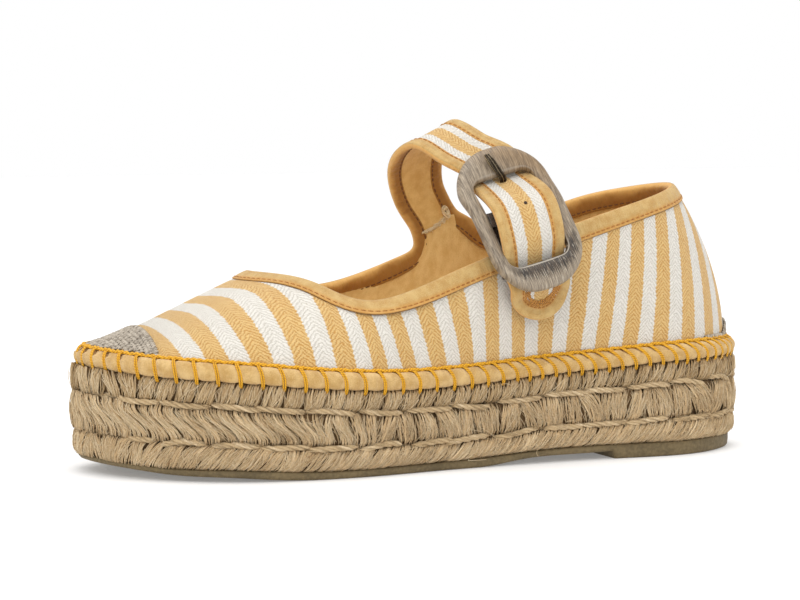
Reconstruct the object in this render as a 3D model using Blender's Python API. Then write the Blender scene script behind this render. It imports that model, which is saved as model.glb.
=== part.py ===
"""Espadrille mary jane (left shoe) on a flat jute platform, built from its sewn and moulded pieces.

Metres, +Z up, toe to -X, heel to +X, outer (buckle) side to -Y.
"along" is measured forward from the back of the heel, "across" is negative on the outer side.
"""
import math

import bmesh
import bpy
import numpy as np

MM = 0.001

# ---- driving sizes, in millimetres -------------------------------------------------------------
SOLE_LENGTH = 256.0
CENTRE_ACROSS = 1.2
GAP = 0.3

ROW_BULGE = 0.5
GROOVE_DEPTH = 3.0
GROOVE_HALF = 1.4
CORD_RADIUS = 1.0
CORD_OUT = -0.45
LOWER_CORD_AT = 0.285
UPPER_CORD_AT = 0.715

BAND_HEIGHT = 6.0
BAND_IN = -3.4
BAND_BULGE = 0.5
TOE_TUCK = 1.8
TOE_TUCK_FROM = 228.0
FEATHER_IN = -3.7
WALL = 1.8
INSOLE_THICK = 4.2
INSOLE_IN = -6.0

TAPE = 0.8
TAPE_GAP = 0.6
TAPE_START = 94.5
TAPE_END = 120.0
TAPE_LEG = 6.2
PATCH_THICK = 0.6
TOE_PATCH_ALONG = 238.0
TOE_PATCH_SWEEP = 0.15
HEEL_PATCH_HEIGHT = 6.0
HEEL_PATCH_HALF = 22.0

STRAP_WIDTH = 22.6
STRAP_THICK = 2.0
STRAP_EDGE = 6.0
STRAP_EDGE_THICK = 2.8
HOLE_LONG = 5.6
HOLE_WIDE = 3.8
HOLE_SIDE = -0.8

BUCKLE_LONG = 56.4
BUCKLE_WIDE = 36.4
BUCKLE_CORNER = 16.5
OPENING_LONG = 37.0
OPENING_WIDE = 24.4
OPENING_CORNER = 4.0
BUCKLE_THICK = 5.4
PIN_RADIUS = 1.6
PIN_AT = 1.5
PRONG_WIDE = 2.8
PRONG_THICK = 2.0
TAB_WIDE = 18.0
TAB_THICK = 1.2

# Stations round the shoe, from the back of the heel by the outer side to the toe and back.
# Columns: sole edge (along, across), top line (along, across, height),
# then the two shaping points of the wall between them: share of the way in, share of the way up.
STATIONS = (
    # place             sole edge       top line               low point      high point
    ("heel back",       0.0, 0.0,       25.6, 0.0, 98.4,       0.01, 0.34,    0.47, 0.74),
    ("heel outer",      26.0, -30.0,    36.5, -18.0, 95.8,     -0.02, 0.34,   0.42, 0.75),
    ("quarter rear",    62.0, -33.5,    62.0, -25.0, 89.0,     -0.20, 0.34,   0.40, 0.76),
    ("quarter front",   105.0, -36.5,   103.0, -30.0, 77.0,    -0.20, 0.34,   0.40, 0.76),
    ("waist outer",     135.0, -41.0,   131.0, -33.0, 67.5,    -0.07, 0.38,   0.48, 0.79),
    ("low outer",       165.0, -47.0,   157.0, -33.5, 60.0,    0.00, 0.40,    0.56, 0.80),
    ("ball outer",      207.0, -45.1,   176.0, -25.0, 66.0,    0.07, 0.36,    0.57, 0.79),
    ("toe outer",       240.0, -26.0,   187.0, -13.0, 69.0,    0.14, 0.20,    0.58, 0.72),
    ("toe tip",         256.0, 6.5,     191.5, 2.0, 69.2,      0.18, 0.08,    0.62, 0.61),
    ("toe inner",       242.5, 30.4,    186.0, 16.0, 67.8,     0.16, 0.12,    0.60, 0.67),
    ("ball inner",      207.0, 43.5,    173.0, 27.5, 62.8,     0.07, 0.32,    0.57, 0.77),
    ("low inner",       170.0, 45.0,    152.0, 33.5, 61.5,     0.00, 0.40,    0.56, 0.80),
    ("waist inner",     138.0, 39.0,    130.0, 33.0, 67.5,     -0.07, 0.38,   0.48, 0.79),
    ("strap root",      108.0, 33.5,    108.0, 31.0, 75.0,     -0.20, 0.34,   0.40, 0.76),
    ("quarter inner",   84.0, 32.0,     86.0, 29.0, 78.8,      -0.20, 0.34,   0.40, 0.76),
    ("rear inner",      60.0, 31.5,     60.0, 25.0, 89.5,      -0.20, 0.34,   0.40, 0.76),
    ("heel inner",      25.0, 28.5,     36.0, 17.5, 96.0,      -0.02, 0.34,   0.42, 0.75),
)

# Heights along the sole: its underside, top of the rubber, top edge of the canvas band.
LEVELS = (
    # along   under   rubber   band
    (0.0,     0.0,    5.2,     41.2),
    (20.0,    0.0,    5.2,     41.6),
    (42.0,    0.0,    5.2,     41.2),
    (62.0,    0.0,    5.2,     39.9),
    (97.0,    1.4,    4.4,     37.9),
    (118.0,   0.0,    3.2,     36.5),
    (145.0,   0.0,    2.8,     35.9),
    (181.0,   0.0,    2.7,     37.9),
    (206.0,   1.1,    3.8,     40.3),
    (223.0,   2.6,    5.0,     41.6),
    (240.0,   4.4,    6.5,     42.7),
    (256.0,   6.2,    8.0,     44.2),
)
HEEL_BLOCK_END = 62.0
HEEL_BLOCK_STEP = 3.0
ARCH_END = 118.0

# Cuts across the sole, where its two sides are joined.
CUTS = (1.2, 4.0, 8.5, 14.5, 22.0, 31.0, 41.0, 51.5, 62.0, 64.5, 74.0, 84.0, 94.5, 107.0, 120.0,
        128.0, 136.0, 144.5, 154.0, 166.0, 178.0, 188.0, 198.0, 207.0, 216.0, 224.0, 231.0, 237.5, 243.0,
        247.5, 251.0, 253.6, 255.3)

# The strap's middle line and the direction across it (toe edge to heel edge).
STRAP_PATH = (
    # place             along   across  height   across it: heelward, inner, up   width
    ("root",            107.0, 30.1, 75.7,       0.95, -0.06, 0.20,               20.0),
    ("root rise",       108.3, 30.8, 84.2,       0.95, 0.00, 0.18,                19.0),
    ("inner side",      115.2, 28.5, 95.5,       0.98, 0.12, 0.04,                20.5),
    ("inner bend",      118.8, 23.5, 104.5,      0.97, 0.20, 0.02,                22.0),
    ("inner shoulder",  120.8, 13.5, 113.2,      0.92, 0.27, 0.18,                22.4),
    ("crown",           119.0, 4.5, 118.0,       0.86, 0.32, 0.38,                22.6),
    ("outer shoulder",  112.2, -8.0, 112.4,      0.92, 0.05, 0.26,                22.6),
)

# The same line inside the buckle, in the buckle's own directions.
STRAP_IN_BUCKLE = (
    # place             up the buckle, out of it, toward the heel
    ("under top bar",   24.5, -5.3, 0.0),
    ("below top bar",   17.8, -4.5, 0.0),
    ("prong hole",      14.8, -1.2, -0.2),
    ("over pin",        2.5, 6.5, 0.5),
    ("lower swell",     -9.5, 4.2, 0.4),
    ("above low bar",   -17.8, -4.4, 0.0),
    ("under low bar",   -24.0, -5.3, 0.0),
)
STRAP_TIP = (
    # place             along   across  height
    ("on the quarter",  95.6, -37.6, 60.5),
    ("tip",             93.6, -38.6, 52.8),
)

BUCKLE_TOP = (106.2, -22.0, 109.3)
BUCKLE_LOW = (97.4, -45.0, 67.5)
BUCKLE_ACROSS = (0.97, -0.05, 0.22)

# Prong and tab, in the buckle's directions (up, out, toward the heel).
PRONG_REACH = ((5.6, 1.6, 0.0), (8.6, -1.0, -0.4), (12.0, -2.7, -0.8), (14.8, -1.1, -1.0), (16.8, 1.9, -1.4),
               (18.6, 4.2, -1.8), (21.4, 4.6, -2.5), (24.8, 4.2, -3.4))
TAB_REACH = ((-3.0, -3.0, 0.0), (-9.0, -5.0, 0.0), (-18.0, -7.6, 0.0))


# ---- curves -------------------------------------------------------------------------------------
def closed_spline(knots, values):
    """Second derivatives of a closed cubic through the rows of values."""
    count = len(values)
    steps = np.diff(np.append(knots, 1.0))
    system = np.zeros((count, count))
    target = np.zeros_like(values)
    for i in range(count):
        before = steps[i - 1]
        after = steps[i]
        follow = (i + 1) % count
        system[i, i - 1] += before
        system[i, i] += 2.0 * (before + after)
        system[i, follow] += after
        target[i] = 6.0 * ((values[follow] - values[i]) / after - (values[i] - values[i - 1]) / before)
    return np.linalg.solve(system, target)


def closed_value(knots, values, bends, places):
    """Points of the closed cubic at places in 0..1."""
    places = np.asarray(places) % 1.0
    index = np.searchsorted(knots, places, side="right") - 1
    follow = (index + 1) % len(knots)
    steps = np.diff(np.append(knots, 1.0))[index][:, None]
    ahead = (places - knots[index])[:, None]
    left = steps - ahead
    cubic = (bends[index] * left ** 3 + bends[follow] * ahead ** 3) / (6.0 * steps)
    line = (values[index] / steps - bends[index] * steps / 6.0) * left
    line += (values[follow] / steps - bends[follow] * steps / 6.0) * ahead
    return cubic + line


def open_curve(points, count):
    """Even points on a smooth open curve through the given ones (any number of columns)."""
    points = np.asarray(points, dtype=float)
    spans = np.linalg.norm(np.diff(points[:, :3], axis=0), axis=1) ** 0.5
    knots = np.concatenate([[0.0], np.cumsum(spans)])
    slopes = np.gradient(points, knots, axis=0)
    fine = np.linspace(0.0, knots[-1], 400)
    index = np.clip(np.searchsorted(knots, fine, side="right") - 1, 0, len(spans) - 1)
    width = spans[index][:, None]
    u = ((fine - knots[index]) / spans[index])[:, None]
    curve = (2 * u ** 3 - 3 * u ** 2 + 1) * points[index] + (u ** 3 - 2 * u ** 2 + u) * width * slopes[index]
    curve += (3 * u ** 2 - 2 * u ** 3) * points[index + 1] + (u ** 3 - u ** 2) * width * slopes[index + 1]
    run = np.concatenate([[0.0], np.cumsum(np.linalg.norm(np.diff(curve[:, :3], axis=0), axis=1))])
    even = np.linspace(0.0, run[-1], count)
    return np.stack([np.interp(even, run, column) for column in curve.T], axis=1)


def level(column, along):
    """A height of the sole at a place along it, without corners."""
    table = np.array(LEVELS)
    knots = table[:, 0]
    values = table[:, column]
    slopes = np.gradient(values, knots)
    flat = (np.diff(values) == 0.0)
    slopes[:-1][flat] = 0.0
    slopes[1:][flat] = 0.0
    along = np.clip(along, knots[0], knots[-1])
    index = np.clip(np.searchsorted(knots, along, side="right") - 1, 0, len(knots) - 2)
    width = knots[index + 1] - knots[index]
    u = (along - knots[index]) / width
    height = (2 * u ** 3 - 3 * u ** 2 + 1) * values[index] + (u ** 3 - 2 * u ** 2 + u) * width * slopes[index]
    height += (3 * u ** 2 - 2 * u ** 3) * values[index + 1] + (u ** 3 - u ** 2) * width * slopes[index + 1]
    return height


TABLE = np.array([row[1:] for row in STATIONS])
SPANS = np.linalg.norm(np.roll(TABLE[:, :2], -1, axis=0) - TABLE[:, :2], axis=1) ** 0.5
KNOTS = np.concatenate([[0.0], np.cumsum(SPANS)[:-1]]) / SPANS.sum()
BENDS = closed_spline(KNOTS, TABLE)


def stations(places):
    return closed_value(KNOTS, TABLE, BENDS, places)


def outward(places):
    """Unit direction out of the sole's edge at places."""
    small = 1e-4
    run = stations(np.asarray(places) + small)[:, :2] - stations(np.asarray(places) - small)[:, :2]
    run /= np.linalg.norm(run, axis=1)[:, None]
    return np.stack([run[:, 1], -run[:, 0]], axis=1)


def matched_places():
    """Places on the outer and inner sides at each cut, with the two tips."""
    fine = np.arange(0, 20000) / 20000.0
    along = stations(fine)[:, 0]
    heel = int(np.argmin(along))
    toe = int(np.argmax(along))
    turned = np.roll(np.arange(20000), -heel)
    split = int(np.where(turned == toe)[0][0])
    outer = turned[:split + 1]
    inner = turned[split:]
    places = [fine[heel]]
    places += [fine[outer[np.argmin(abs(along[outer] - cut))]] for cut in CUTS]
    places += [fine[toe]]
    places += [fine[inner[np.argmin(abs(along[inner] - cut))]] for cut in reversed(CUTS)]
    return np.array(places)


PLACES = matched_places()
COUNT = len(PLACES)
EDGE = stations(PLACES)[:, :2]
OUT = outward(PLACES)
CUT_OF = np.array((0.0,) + CUTS + (SOLE_LENGTH,) + tuple(reversed(CUTS)))


def world(points):
    """Along, across, height in millimetres to the shoe's frame in metres."""
    points = np.asarray(points, dtype=float)
    ahead = SOLE_LENGTH / 2 - points[..., 0]
    turned = np.stack([ahead, points[..., 1] + CENTRE_ACROSS, points[..., 2]], axis=-1)
    return turned * MM


def ring(offset, height):
    """A line round the sole, moved out by offset, at given heights."""
    flat = EDGE + OUT * np.reshape(offset, (-1, 1))
    return np.column_stack([flat, np.broadcast_to(height, len(flat))])


# ---- meshes -------------------------------------------------------------------------------------
def add_object(name, points, faces, material, smooth_angle=35.0):
    mesh = bpy.data.meshes.new(name)
    mesh.from_pydata([tuple(p) for p in world(points)], [], faces)
    shape = bmesh.new()
    shape.from_mesh(mesh)
    bmesh.ops.recalc_face_normals(shape, faces=shape.faces)
    shape.to_mesh(mesh)
    shape.free()
    for polygon in mesh.polygons:
        polygon.use_smooth = True
    mesh.set_sharp_from_angle(angle=math.radians(smooth_angle))
    mesh.materials.append(material)
    thing = bpy.data.objects.new(name, mesh)
    bpy.context.scene.collection.objects.link(thing)
    return thing


def paint(name, colour, roughness, metallic=0.0):
    material = bpy.data.materials.new(name)
    material.use_nodes = True
    surface = material.node_tree.nodes["Principled BSDF"]
    surface.inputs["Base Color"].default_value = (*colour, 1.0)
    surface.inputs["Roughness"].default_value = roughness
    surface.inputs["Metallic"].default_value = metallic
    return material


def band_faces(first, second, count, closed=True):
    """Quads between two rows of points that start at these numbers."""
    last = count if closed else count - 1
    return [(first + i, first + (i + 1) % count, second + (i + 1) % count, second + i) for i in range(last)]


def cap_faces(start, count):
    """Strips across a ring of matched places, heel to toe."""
    half = count // 2
    faces = [(start, start + 1, start + count - 1)]
    for i in range(1, half - 1):
        faces.append((start + i, start + i + 1, start + count - i - 1, start + count - i))
    faces.append((start + half - 1, start + half, start + half + 1))
    return faces


def stacked(name, rings, material, smooth_angle=35.0):
    """A closed block from rings of the sole, lowest first, capped at both ends."""
    points = np.concatenate(rings)
    faces = cap_faces(0, COUNT) + cap_faces(COUNT * (len(rings) - 1), COUNT)
    for i in range(len(rings) - 1):
        faces += band_faces(COUNT * i, COUNT * (i + 1), COUNT)
    return add_object(name, points, faces, material, smooth_angle)


def hoop(name, rings, material, smooth_angle=35.0):
    """A closed hoop whose section is the list of rings."""
    points = np.concatenate(rings)
    count = len(rings[0])
    faces = []
    for i in range(len(rings)):
        faces += band_faces(count * i, count * ((i + 1) % len(rings)), count)
    return add_object(name, points, faces, material, smooth_angle)


def swept(name, sections, material, smooth_angle=35.0, skip=()):
    """A body through open sections (equal numbers of points), with its ends closed.

    skip lists (step, side) quads to leave out; the caller closes the opening.
    """
    sections = np.asarray(sections)
    steps, sides = sections.shape[:2]
    faces = [tuple(range(sides)), tuple(range((steps - 1) * sides, steps * sides))]
    for i in range(steps - 1):
        for j in range(sides):
            if (i, j) in skip:
                continue
            low = i * sides
            high = low + sides
            beside = (j + 1) % sides
            faces.append((low + beside, high + beside, high + j, low + j))
    faces += [face for face in opening_walls(skip, sides)]
    return add_object(name, sections.reshape(-1, 3), faces, material, smooth_angle)


def opening_walls(skip, sides):
    """Walls through a flat strip where one upper column and its lower twin are left out."""
    if not skip:
        return []
    steps = sorted({step for step, side in skip})
    upper = min(side for step, side in skip)
    lower = max(side for step, side in skip)
    start = steps[0] * sides
    end = (steps[-1] + 1) * sides
    faces = [(start + upper, start + upper + 1, start + lower, start + lower + 1),
             (end + upper, end + upper + 1, end + lower, end + lower + 1)]
    for step in steps:
        low = step * sides
        high = low + sides
        faces.append((low + upper, high + upper, high + lower + 1, low + lower + 1))
        faces.append((low + upper + 1, high + upper + 1, high + lower, low + lower))
    return faces


# ---- platform -----------------------------------------------------------------------------------
def platform(rubber, jute, cord, canvas, footbed):
    under = level(1, CUT_OF)
    ramp = np.clip((CUT_OF - ARCH_END) / (HEEL_BLOCK_END - ARCH_END), 0.0, 1.0)
    under = np.where(CUT_OF > HEEL_BLOCK_END, under + HEEL_BLOCK_STEP * np.clip(ramp, 0.0, 1.0) ** 1.5, under)
    tread = level(2, CUT_OF)
    top = level(3, CUT_OF)
    stacked("outsole", [ring(-1.7, under), ring(-1.0, under + 0.6), ring(-0.8, tread)], rubber)

    floor = tread + GAP
    lid = top - BAND_HEIGHT - GAP
    span = lid - floor
    low = floor + span * LOWER_CORD_AT
    high = floor + span * UPPER_CORD_AT
    jute_row("jute_row_bottom", floor, low - GAP / 2, jute, groove_below=False, groove_above=True)
    jute_row("jute_row_middle", low + GAP / 2, high - GAP / 2, jute, groove_below=True, groove_above=True)
    jute_row("jute_row_top", high + GAP / 2, lid, jute, groove_below=True, groove_above=False)
    for name, centre in (("jute_cord_lower", low), ("jute_cord_upper", high)):
        turn = [math.radians(60.0 * i) for i in range(6)]
        rings = [ring(CORD_OUT + CORD_RADIUS * math.cos(a), centre + CORD_RADIUS * math.sin(a)) for a in turn]
        hoop(name, rings, cord, 80.0)

    foot = top - BAND_HEIGHT
    tuck = TOE_TUCK * np.clip((CUT_OF - TOE_TUCK_FROM) / (SOLE_LENGTH - TOE_TUCK_FROM), 0.0, 1.0)
    hoop("foxing_band", [ring(BAND_IN, foot), ring(-0.4 - tuck, foot), ring(BAND_BULGE - tuck, foot + 1.6),
                         ring(BAND_BULGE - tuck, foot + 3.8), ring(-0.8 - tuck, top - 0.3), ring(BAND_IN, top)],
         canvas, 60.0)
    stacked("insole", [ring(INSOLE_IN, foot + GAP), ring(INSOLE_IN, foot + INSOLE_THICK)], footbed)


def jute_row(name, low, high, material, groove_below, groove_above):
    """One row of braid; it steps in where a cord lies against it."""
    inner_low = -GROOVE_DEPTH if groove_below else -0.8
    inner_high = -GROOVE_DEPTH if groove_above else -0.9
    rise_low = GROOVE_HALF if groove_below else 0.8
    rise_high = GROOVE_HALF if groove_above else 0.8
    rings = [ring(inner_low, low), ring(0.0, low + rise_low), ring(ROW_BULGE, (low + high) / 2),
             ring(0.0, high - rise_high), ring(inner_high, high)]
    stacked(name, rings, material, 60.0)


# ---- upper --------------------------------------------------------------------------------------
def wall_points(places, share):
    """Points of the upper's outer face; share runs 0 at the feather line to 1 at the top line."""
    places = np.asarray(places)
    share = np.broadcast_to(share, places.shape)
    rows = stations(places)
    foot = rows[:, :2] + outward(places) * FEATHER_IN
    base = level(3, rows[:, 0])
    a = 3 * share * (1 - share) ** 2 * rows[:, 5] + 3 * share ** 2 * (1 - share) * rows[:, 7] + share ** 3
    b = 3 * share * (1 - share) ** 2 * rows[:, 6] + 3 * share ** 2 * (1 - share) * rows[:, 8] + share ** 3
    flat = foot + (rows[:, 2:4] - foot) * a[:, None]
    height = base + (rows[:, 4] - base) * b
    return np.column_stack([flat, height])


def wall_normals(places, share):
    """Directions out of the upper's wall."""
    places = np.asarray(places)
    step = 1e-3
    low = np.clip(np.broadcast_to(share, places.shape) - step, 0.0, 1.0)
    high = np.clip(np.broadcast_to(share, places.shape) + step, 0.0, 1.0)
    climb = wall_points(places, high) - wall_points(places, low)
    run = wall_points(places + step, share) - wall_points(places - step, share)
    normal = np.cross(run, climb)
    normal /= np.linalg.norm(normal, axis=1)[:, None]
    facing = np.sign((normal[:, :2] * outward(places)).sum(axis=1) + 1e-9)
    return normal * facing[:, None]


def shares_below_top(places, drop):
    """Share at which the wall lies a given distance below its top line."""
    grid = np.linspace(0.0, 1.0, 101)
    lines = np.stack([wall_points(places, g) for g in grid])
    lengths = np.linalg.norm(np.diff(lines, axis=0), axis=2)
    below = np.concatenate([np.cumsum(lengths[::-1], axis=0)[::-1], np.zeros((1, len(places)))])
    return np.array([np.interp(-drop, -below[:, i], grid) for i in range(len(places))])


def wall_row(places, share, offset):
    return wall_points(places, share) + wall_normals(places, share) * offset


def upper_shell(canvas):
    tape_low = shares_below_top(PLACES, TAPE_LEG)
    tape_mid = shares_below_top(PLACES, TAPE_LEG / 2)
    shares = [np.zeros(COUNT)]
    shares += [tape_low * part for part in (0.12, 0.3, 0.52, 0.76)]
    shares += [tape_low, tape_mid, np.ones(COUNT)]
    foot = level(3, CUT_OF) - BAND_HEIGHT + GAP
    outer = [ring(FEATHER_IN, foot)] + [wall_row(PLACES, share, 0.0) for share in shares]
    inner = [ring(FEATHER_IN - WALL, foot)] + [wall_row(PLACES, share, -WALL) for share in shares]
    hoop("upper", outer + inner[::-1], canvas, 50.0)


def tape_edge(canvas):
    """Folded tape over the top line, from behind the strap round the heel to its front."""
    start = COUNT - 1 - CUTS.index(TAPE_START)
    end = COUNT - 1 - CUTS.index(TAPE_END)
    places = PLACES[list(range(start, COUNT)) + list(range(end + 1))]
    low = shares_below_top(places, TAPE_LEG)
    mid = shares_below_top(places, TAPE_LEG / 2)
    one = np.ones(len(places))
    rim = (wall_row(places, one, 0.0) + wall_row(places, one, -WALL)) / 2
    climb = rim - (wall_row(places, mid, 0.0) + wall_row(places, mid, -WALL)) / 2
    climb /= np.linalg.norm(climb, axis=1)[:, None]
    near = TAPE_GAP
    far = near + TAPE
    loops = [wall_row(places, low, far), wall_row(places, mid, far), wall_row(places, one, far),
             rim + climb * (far + 0.4),
             wall_row(places, one, -WALL - far), wall_row(places, mid, -WALL - far),
             wall_row(places, low, -WALL - far), wall_row(places, low, -WALL - near),
             wall_row(places, mid, -WALL - near), wall_row(places, one, -WALL - near) + climb * near,
             wall_row(places, one, near) + climb * near,
             wall_row(places, mid, near), wall_row(places, low, near)]
    swept("collar_binding", np.stack(loops, axis=1), canvas, 60.0)


def patch(name, numbers, lows, tops, material):
    """A thin guard on the outside of the wall between two shares at each place."""
    places = PLACES[numbers]
    lift = GAP + 0.15
    shares = [lows + (tops - lows) * part for part in (1.0, 0.67, 0.34, 0.0)]
    near = [wall_row(places, share, lift) for share in shares]
    far = [wall_row(places, share, lift + PATCH_THICK) for share in reversed(shares)]
    swept(name, np.stack(near + far, axis=1), material, 60.0)


def shares_above_band(places):
    """Lowest share at each place whose face clears the band's top edge."""
    grid = np.linspace(0.0, 0.5, 101)
    top = level(3, stations(places)[:, 0]) + GAP + 0.1
    heights = np.stack([wall_row(places, g, GAP)[:, 2] for g in grid])
    return grid[np.argmax(heights > top, axis=0)]


def toe_patch(material):
    """Half-moon over the toe; its rear edge runs back towards the sides."""
    half = COUNT // 2
    numbers = np.arange(half - 12, half + 13)
    grid = np.linspace(0.0, 0.6, 241)
    lines = np.stack([wall_points(PLACES[numbers], g) for g in grid])
    ahead = lines[:, :, 0] > TOE_PATCH_ALONG - TOE_PATCH_SWEEP * abs(lines[:, :, 1])
    tops = grid[np.argmin(ahead, axis=0)]
    lows = shares_above_band(PLACES[numbers])
    keep = tops > lows + 0.02
    patch("toe_patch", numbers[keep], lows[keep], tops[keep], material)


def heel_patch(material):
    """The same guard, low round the back of the heel."""
    numbers = np.arange(-5, 6) % COUNT
    spread = EDGE[numbers, 1] / HEEL_PATCH_HALF
    rise = HEEL_PATCH_HEIGHT * np.maximum(0.2, 1.0 - spread ** 2)
    lows = shares_above_band(PLACES[numbers])
    grid = np.linspace(0.0, 0.6, 241)
    heights = np.stack([wall_points(PLACES[numbers], g)[:, 2] for g in grid])
    base = np.array([wall_points(PLACES[[i]], low)[0][2] for i, low in zip(numbers, lows)])
    tops = grid[np.argmax(heights > base + rise, axis=0)]
    patch("heel_patch", numbers, lows, tops, material)


# ---- buckle and strap ---------------------------------------------------------------------------
def unit(vector):
    return np.asarray(vector) / np.linalg.norm(vector)


def flip(vector):
    """Heelward, inner, up to the table's along, across, height."""
    return np.array([-vector[0], vector[1], vector[2]])


TOP = np.array(BUCKLE_TOP)
LOW = np.array(BUCKLE_LOW)
BUCKLE_CENTRE = (TOP + LOW) / 2
UP = unit(TOP - LOW)
SIDE = flip(BUCKLE_ACROSS)
SIDE = unit(SIDE - UP * SIDE.dot(UP))
FACE = np.cross(UP, SIDE)
FACE = FACE * np.sign(-FACE[1])


def in_buckle(side, up, out):
    return BUCKLE_CENTRE + SIDE * side + UP * up + FACE * out


def rounded_loop(wide, long, corner):
    """Points round a rectangle with round corners, as (side, up)."""
    loop = []
    for quarter in range(4):
        side = (1, -1, -1, 1)[quarter] * (wide / 2 - corner)
        up = (1, 1, -1, -1)[quarter] * (long / 2 - corner)
        for k in range(8):
            angle = math.pi / 2 * (quarter + k / 7.0)
            loop.append((side + corner * math.cos(angle), up + corner * math.sin(angle)))
    return loop


def buckle(horn, metal, canvas):
    outer = rounded_loop(BUCKLE_WIDE, BUCKLE_LONG, BUCKLE_CORNER)
    inner = rounded_loop(OPENING_WIDE, OPENING_LONG, OPENING_CORNER)
    sections = []
    for (out_side, out_up), (in_side, in_up) in zip(outer, inner):
        section = []
        for turn in range(8):
            a = math.pi / 8 + math.pi / 4 * turn
            share = 0.5 + 0.5 * math.cos(a) / math.cos(math.pi / 8)
            section.append(in_buckle(in_side + (out_side - in_side) * share, in_up + (out_up - in_up) * share,
                                     BUCKLE_THICK / 2 * math.sin(a) / math.cos(math.pi / 8)))
        sections.append(section)
    hoop("buckle_frame", list(np.array(sections).transpose(1, 0, 2)), horn, 50.0)

    pin_half = OPENING_WIDE / 2 - GAP
    ends = []
    for end in (-pin_half, pin_half):
        ends.append([in_buckle(end, PIN_AT + PIN_RADIUS * math.cos(math.pi / 6 * k),
                               PIN_RADIUS * math.sin(math.pi / 6 * k)) for k in range(12)])
    swept("buckle_pin", ends, metal, 60.0)

    prong_curl = curl(PIN_RADIUS + GAP + PRONG_THICK / 2 + 0.1, 95.0, 30.0, 5)
    path = open_curve(prong_curl + list(PRONG_REACH), 26)
    swept("buckle_prong", flat_wire(path, PRONG_WIDE, PRONG_THICK), metal, 50.0)

    tab_curl = curl(PIN_RADIUS + GAP + TAB_THICK / 2 + 0.15, -150.0, 150.0, 13)
    tab_path = open_curve(tab_curl[::-1] + list(TAB_REACH), 24)
    slot = PRONG_WIDE / 2 + GAP + 0.4
    columns = (-TAB_WIDE / 2, -slot, slot, TAB_WIDE / 2)
    sections = ribbon_sections(tab_path, columns, TAB_THICK)
    skip = [(step, side) for step in range(1, 15) for side in (1, 5)]
    swept("buckle_tab", sections, canvas, 50.0, skip)


def curl(radius, start, end, count):
    """Turn round the pin, as (up, out) points."""
    angles = np.radians(np.linspace(start, end, count))
    return [(PIN_AT + radius * math.cos(a), radius * math.sin(a), 0.0) for a in angles]


def path_frames(path):
    run = np.gradient(path[:, :2], axis=0)
    run /= np.linalg.norm(run, axis=1)[:, None]
    return run, np.stack([-run[:, 1], run[:, 0]], axis=1)


def flat_wire(path, wide, thick):
    """Wire of oblong section along an (up, out) path in the buckle's middle plane."""
    run, normal = path_frames(path)
    sections = []
    for point, across in zip(path, normal):
        section = []
        for turn in range(8):
            a = math.pi / 8 + math.pi / 4 * turn
            lift = point[:2] + across * thick / 2 * math.sin(a) / math.cos(math.pi / 8)
            side = point[2] + wide / 2 * math.cos(a) / math.cos(math.pi / 8)
            section.append(in_buckle(side, lift[0], lift[1]))
        sections.append(section)
    return sections


def ribbon_sections(path, columns, thick):
    """Flat strip along an (up, out) path, its section points set at the given columns."""
    run, normal = path_frames(path)
    sections = []
    for point, across in zip(path, normal):
        upper = point[:2] + across * thick / 2
        lower = point[:2] - across * thick / 2
        section = [in_buckle(side, upper[0], upper[1]) for side in columns]
        section += [in_buckle(side, lower[0], lower[1]) for side in reversed(columns)]
        sections.append(section)
    return sections


def strap_lines():
    """Middle line of the strap and the direction across it."""
    rows = [list(row[1:4]) + list(flip(row[4:7])) + [row[7]] for row in STRAP_PATH]
    rows += [list(in_buckle(row[3], row[1], row[2])) + list(SIDE) + [STRAP_WIDTH] for row in STRAP_IN_BUCKLE]
    rows += [list(row[1:4]) + list(SIDE) + [STRAP_WIDTH] for row in STRAP_TIP]
    return open_curve(rows, 60)


STRAP_INNER = STRAP_WIDTH / 2 - STRAP_EDGE
STRAP_COLUMNS = ((-STRAP_WIDTH / 2, 1), (-STRAP_INNER, 1), (0.4 - STRAP_INNER, 0), (HOLE_SIDE - HOLE_WIDE / 2, 0),
                 (HOLE_SIDE + HOLE_WIDE / 2, 0), (STRAP_INNER - 0.4, 0), (STRAP_INNER, 1), (STRAP_WIDTH / 2, 1))


def strap(canvas):
    line = strap_lines()
    length = np.concatenate([[0.0], np.cumsum(np.linalg.norm(np.diff(line[:, :3], axis=0), axis=1))])
    hole = length[int(np.argmin(np.linalg.norm(line[:, :3] - in_buckle(0.0, 14.8, -1.2), axis=1)))]
    before_hole = np.linspace(0.0, hole - HOLE_LONG / 2, 26)
    after_hole = np.linspace(hole + HOLE_LONG / 2, length[-1], 18)[:-3]
    stops = np.concatenate([before_hole, after_hole, length[-1] - np.array([9.0, 6.0, 3.4, 1.5, 0.4])])
    curve = np.stack([np.interp(stops, length, column) for column in line.T], axis=1)
    slopes = np.gradient(line[:, :3], axis=0)
    run = np.stack([np.interp(stops, length, column) for column in slopes.T], axis=1)
    run /= np.linalg.norm(run, axis=1)[:, None]
    sections = []
    for k, stop in enumerate(stops):
        across = curve[k, 3:6] - run[k] * curve[k, 3:6].dot(run[k])
        across = unit(across)
        out = np.cross(run[k], across)
        out *= np.sign(out.dot(curve[k, :3] - np.array([110.0, 0.0, 80.0])))
        left = length[-1] - stop
        half = curve[k, 6] / 2
        tip = STRAP_WIDTH / 2
        if left < tip:
            half = max(2.0, math.sqrt(max(0.0, tip ** 2 - (tip - left) ** 2)) * half / tip)
        columns = [(side * half * 2 / STRAP_WIDTH, raised) for side, raised in STRAP_COLUMNS]
        thick = (STRAP_THICK / 2, STRAP_EDGE_THICK / 2)
        section = [curve[k, :3] + across * w + out * thick[s] for w, s in columns]
        section += [curve[k, :3] + across * w - out * thick[s] for w, s in reversed(columns)]
        sections.append(section)
    step = int(np.argmin(abs(stops - (hole - HOLE_LONG / 2))))
    swept("strap", sections, canvas, 50.0, [(step, 3), (step, 11)])


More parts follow.
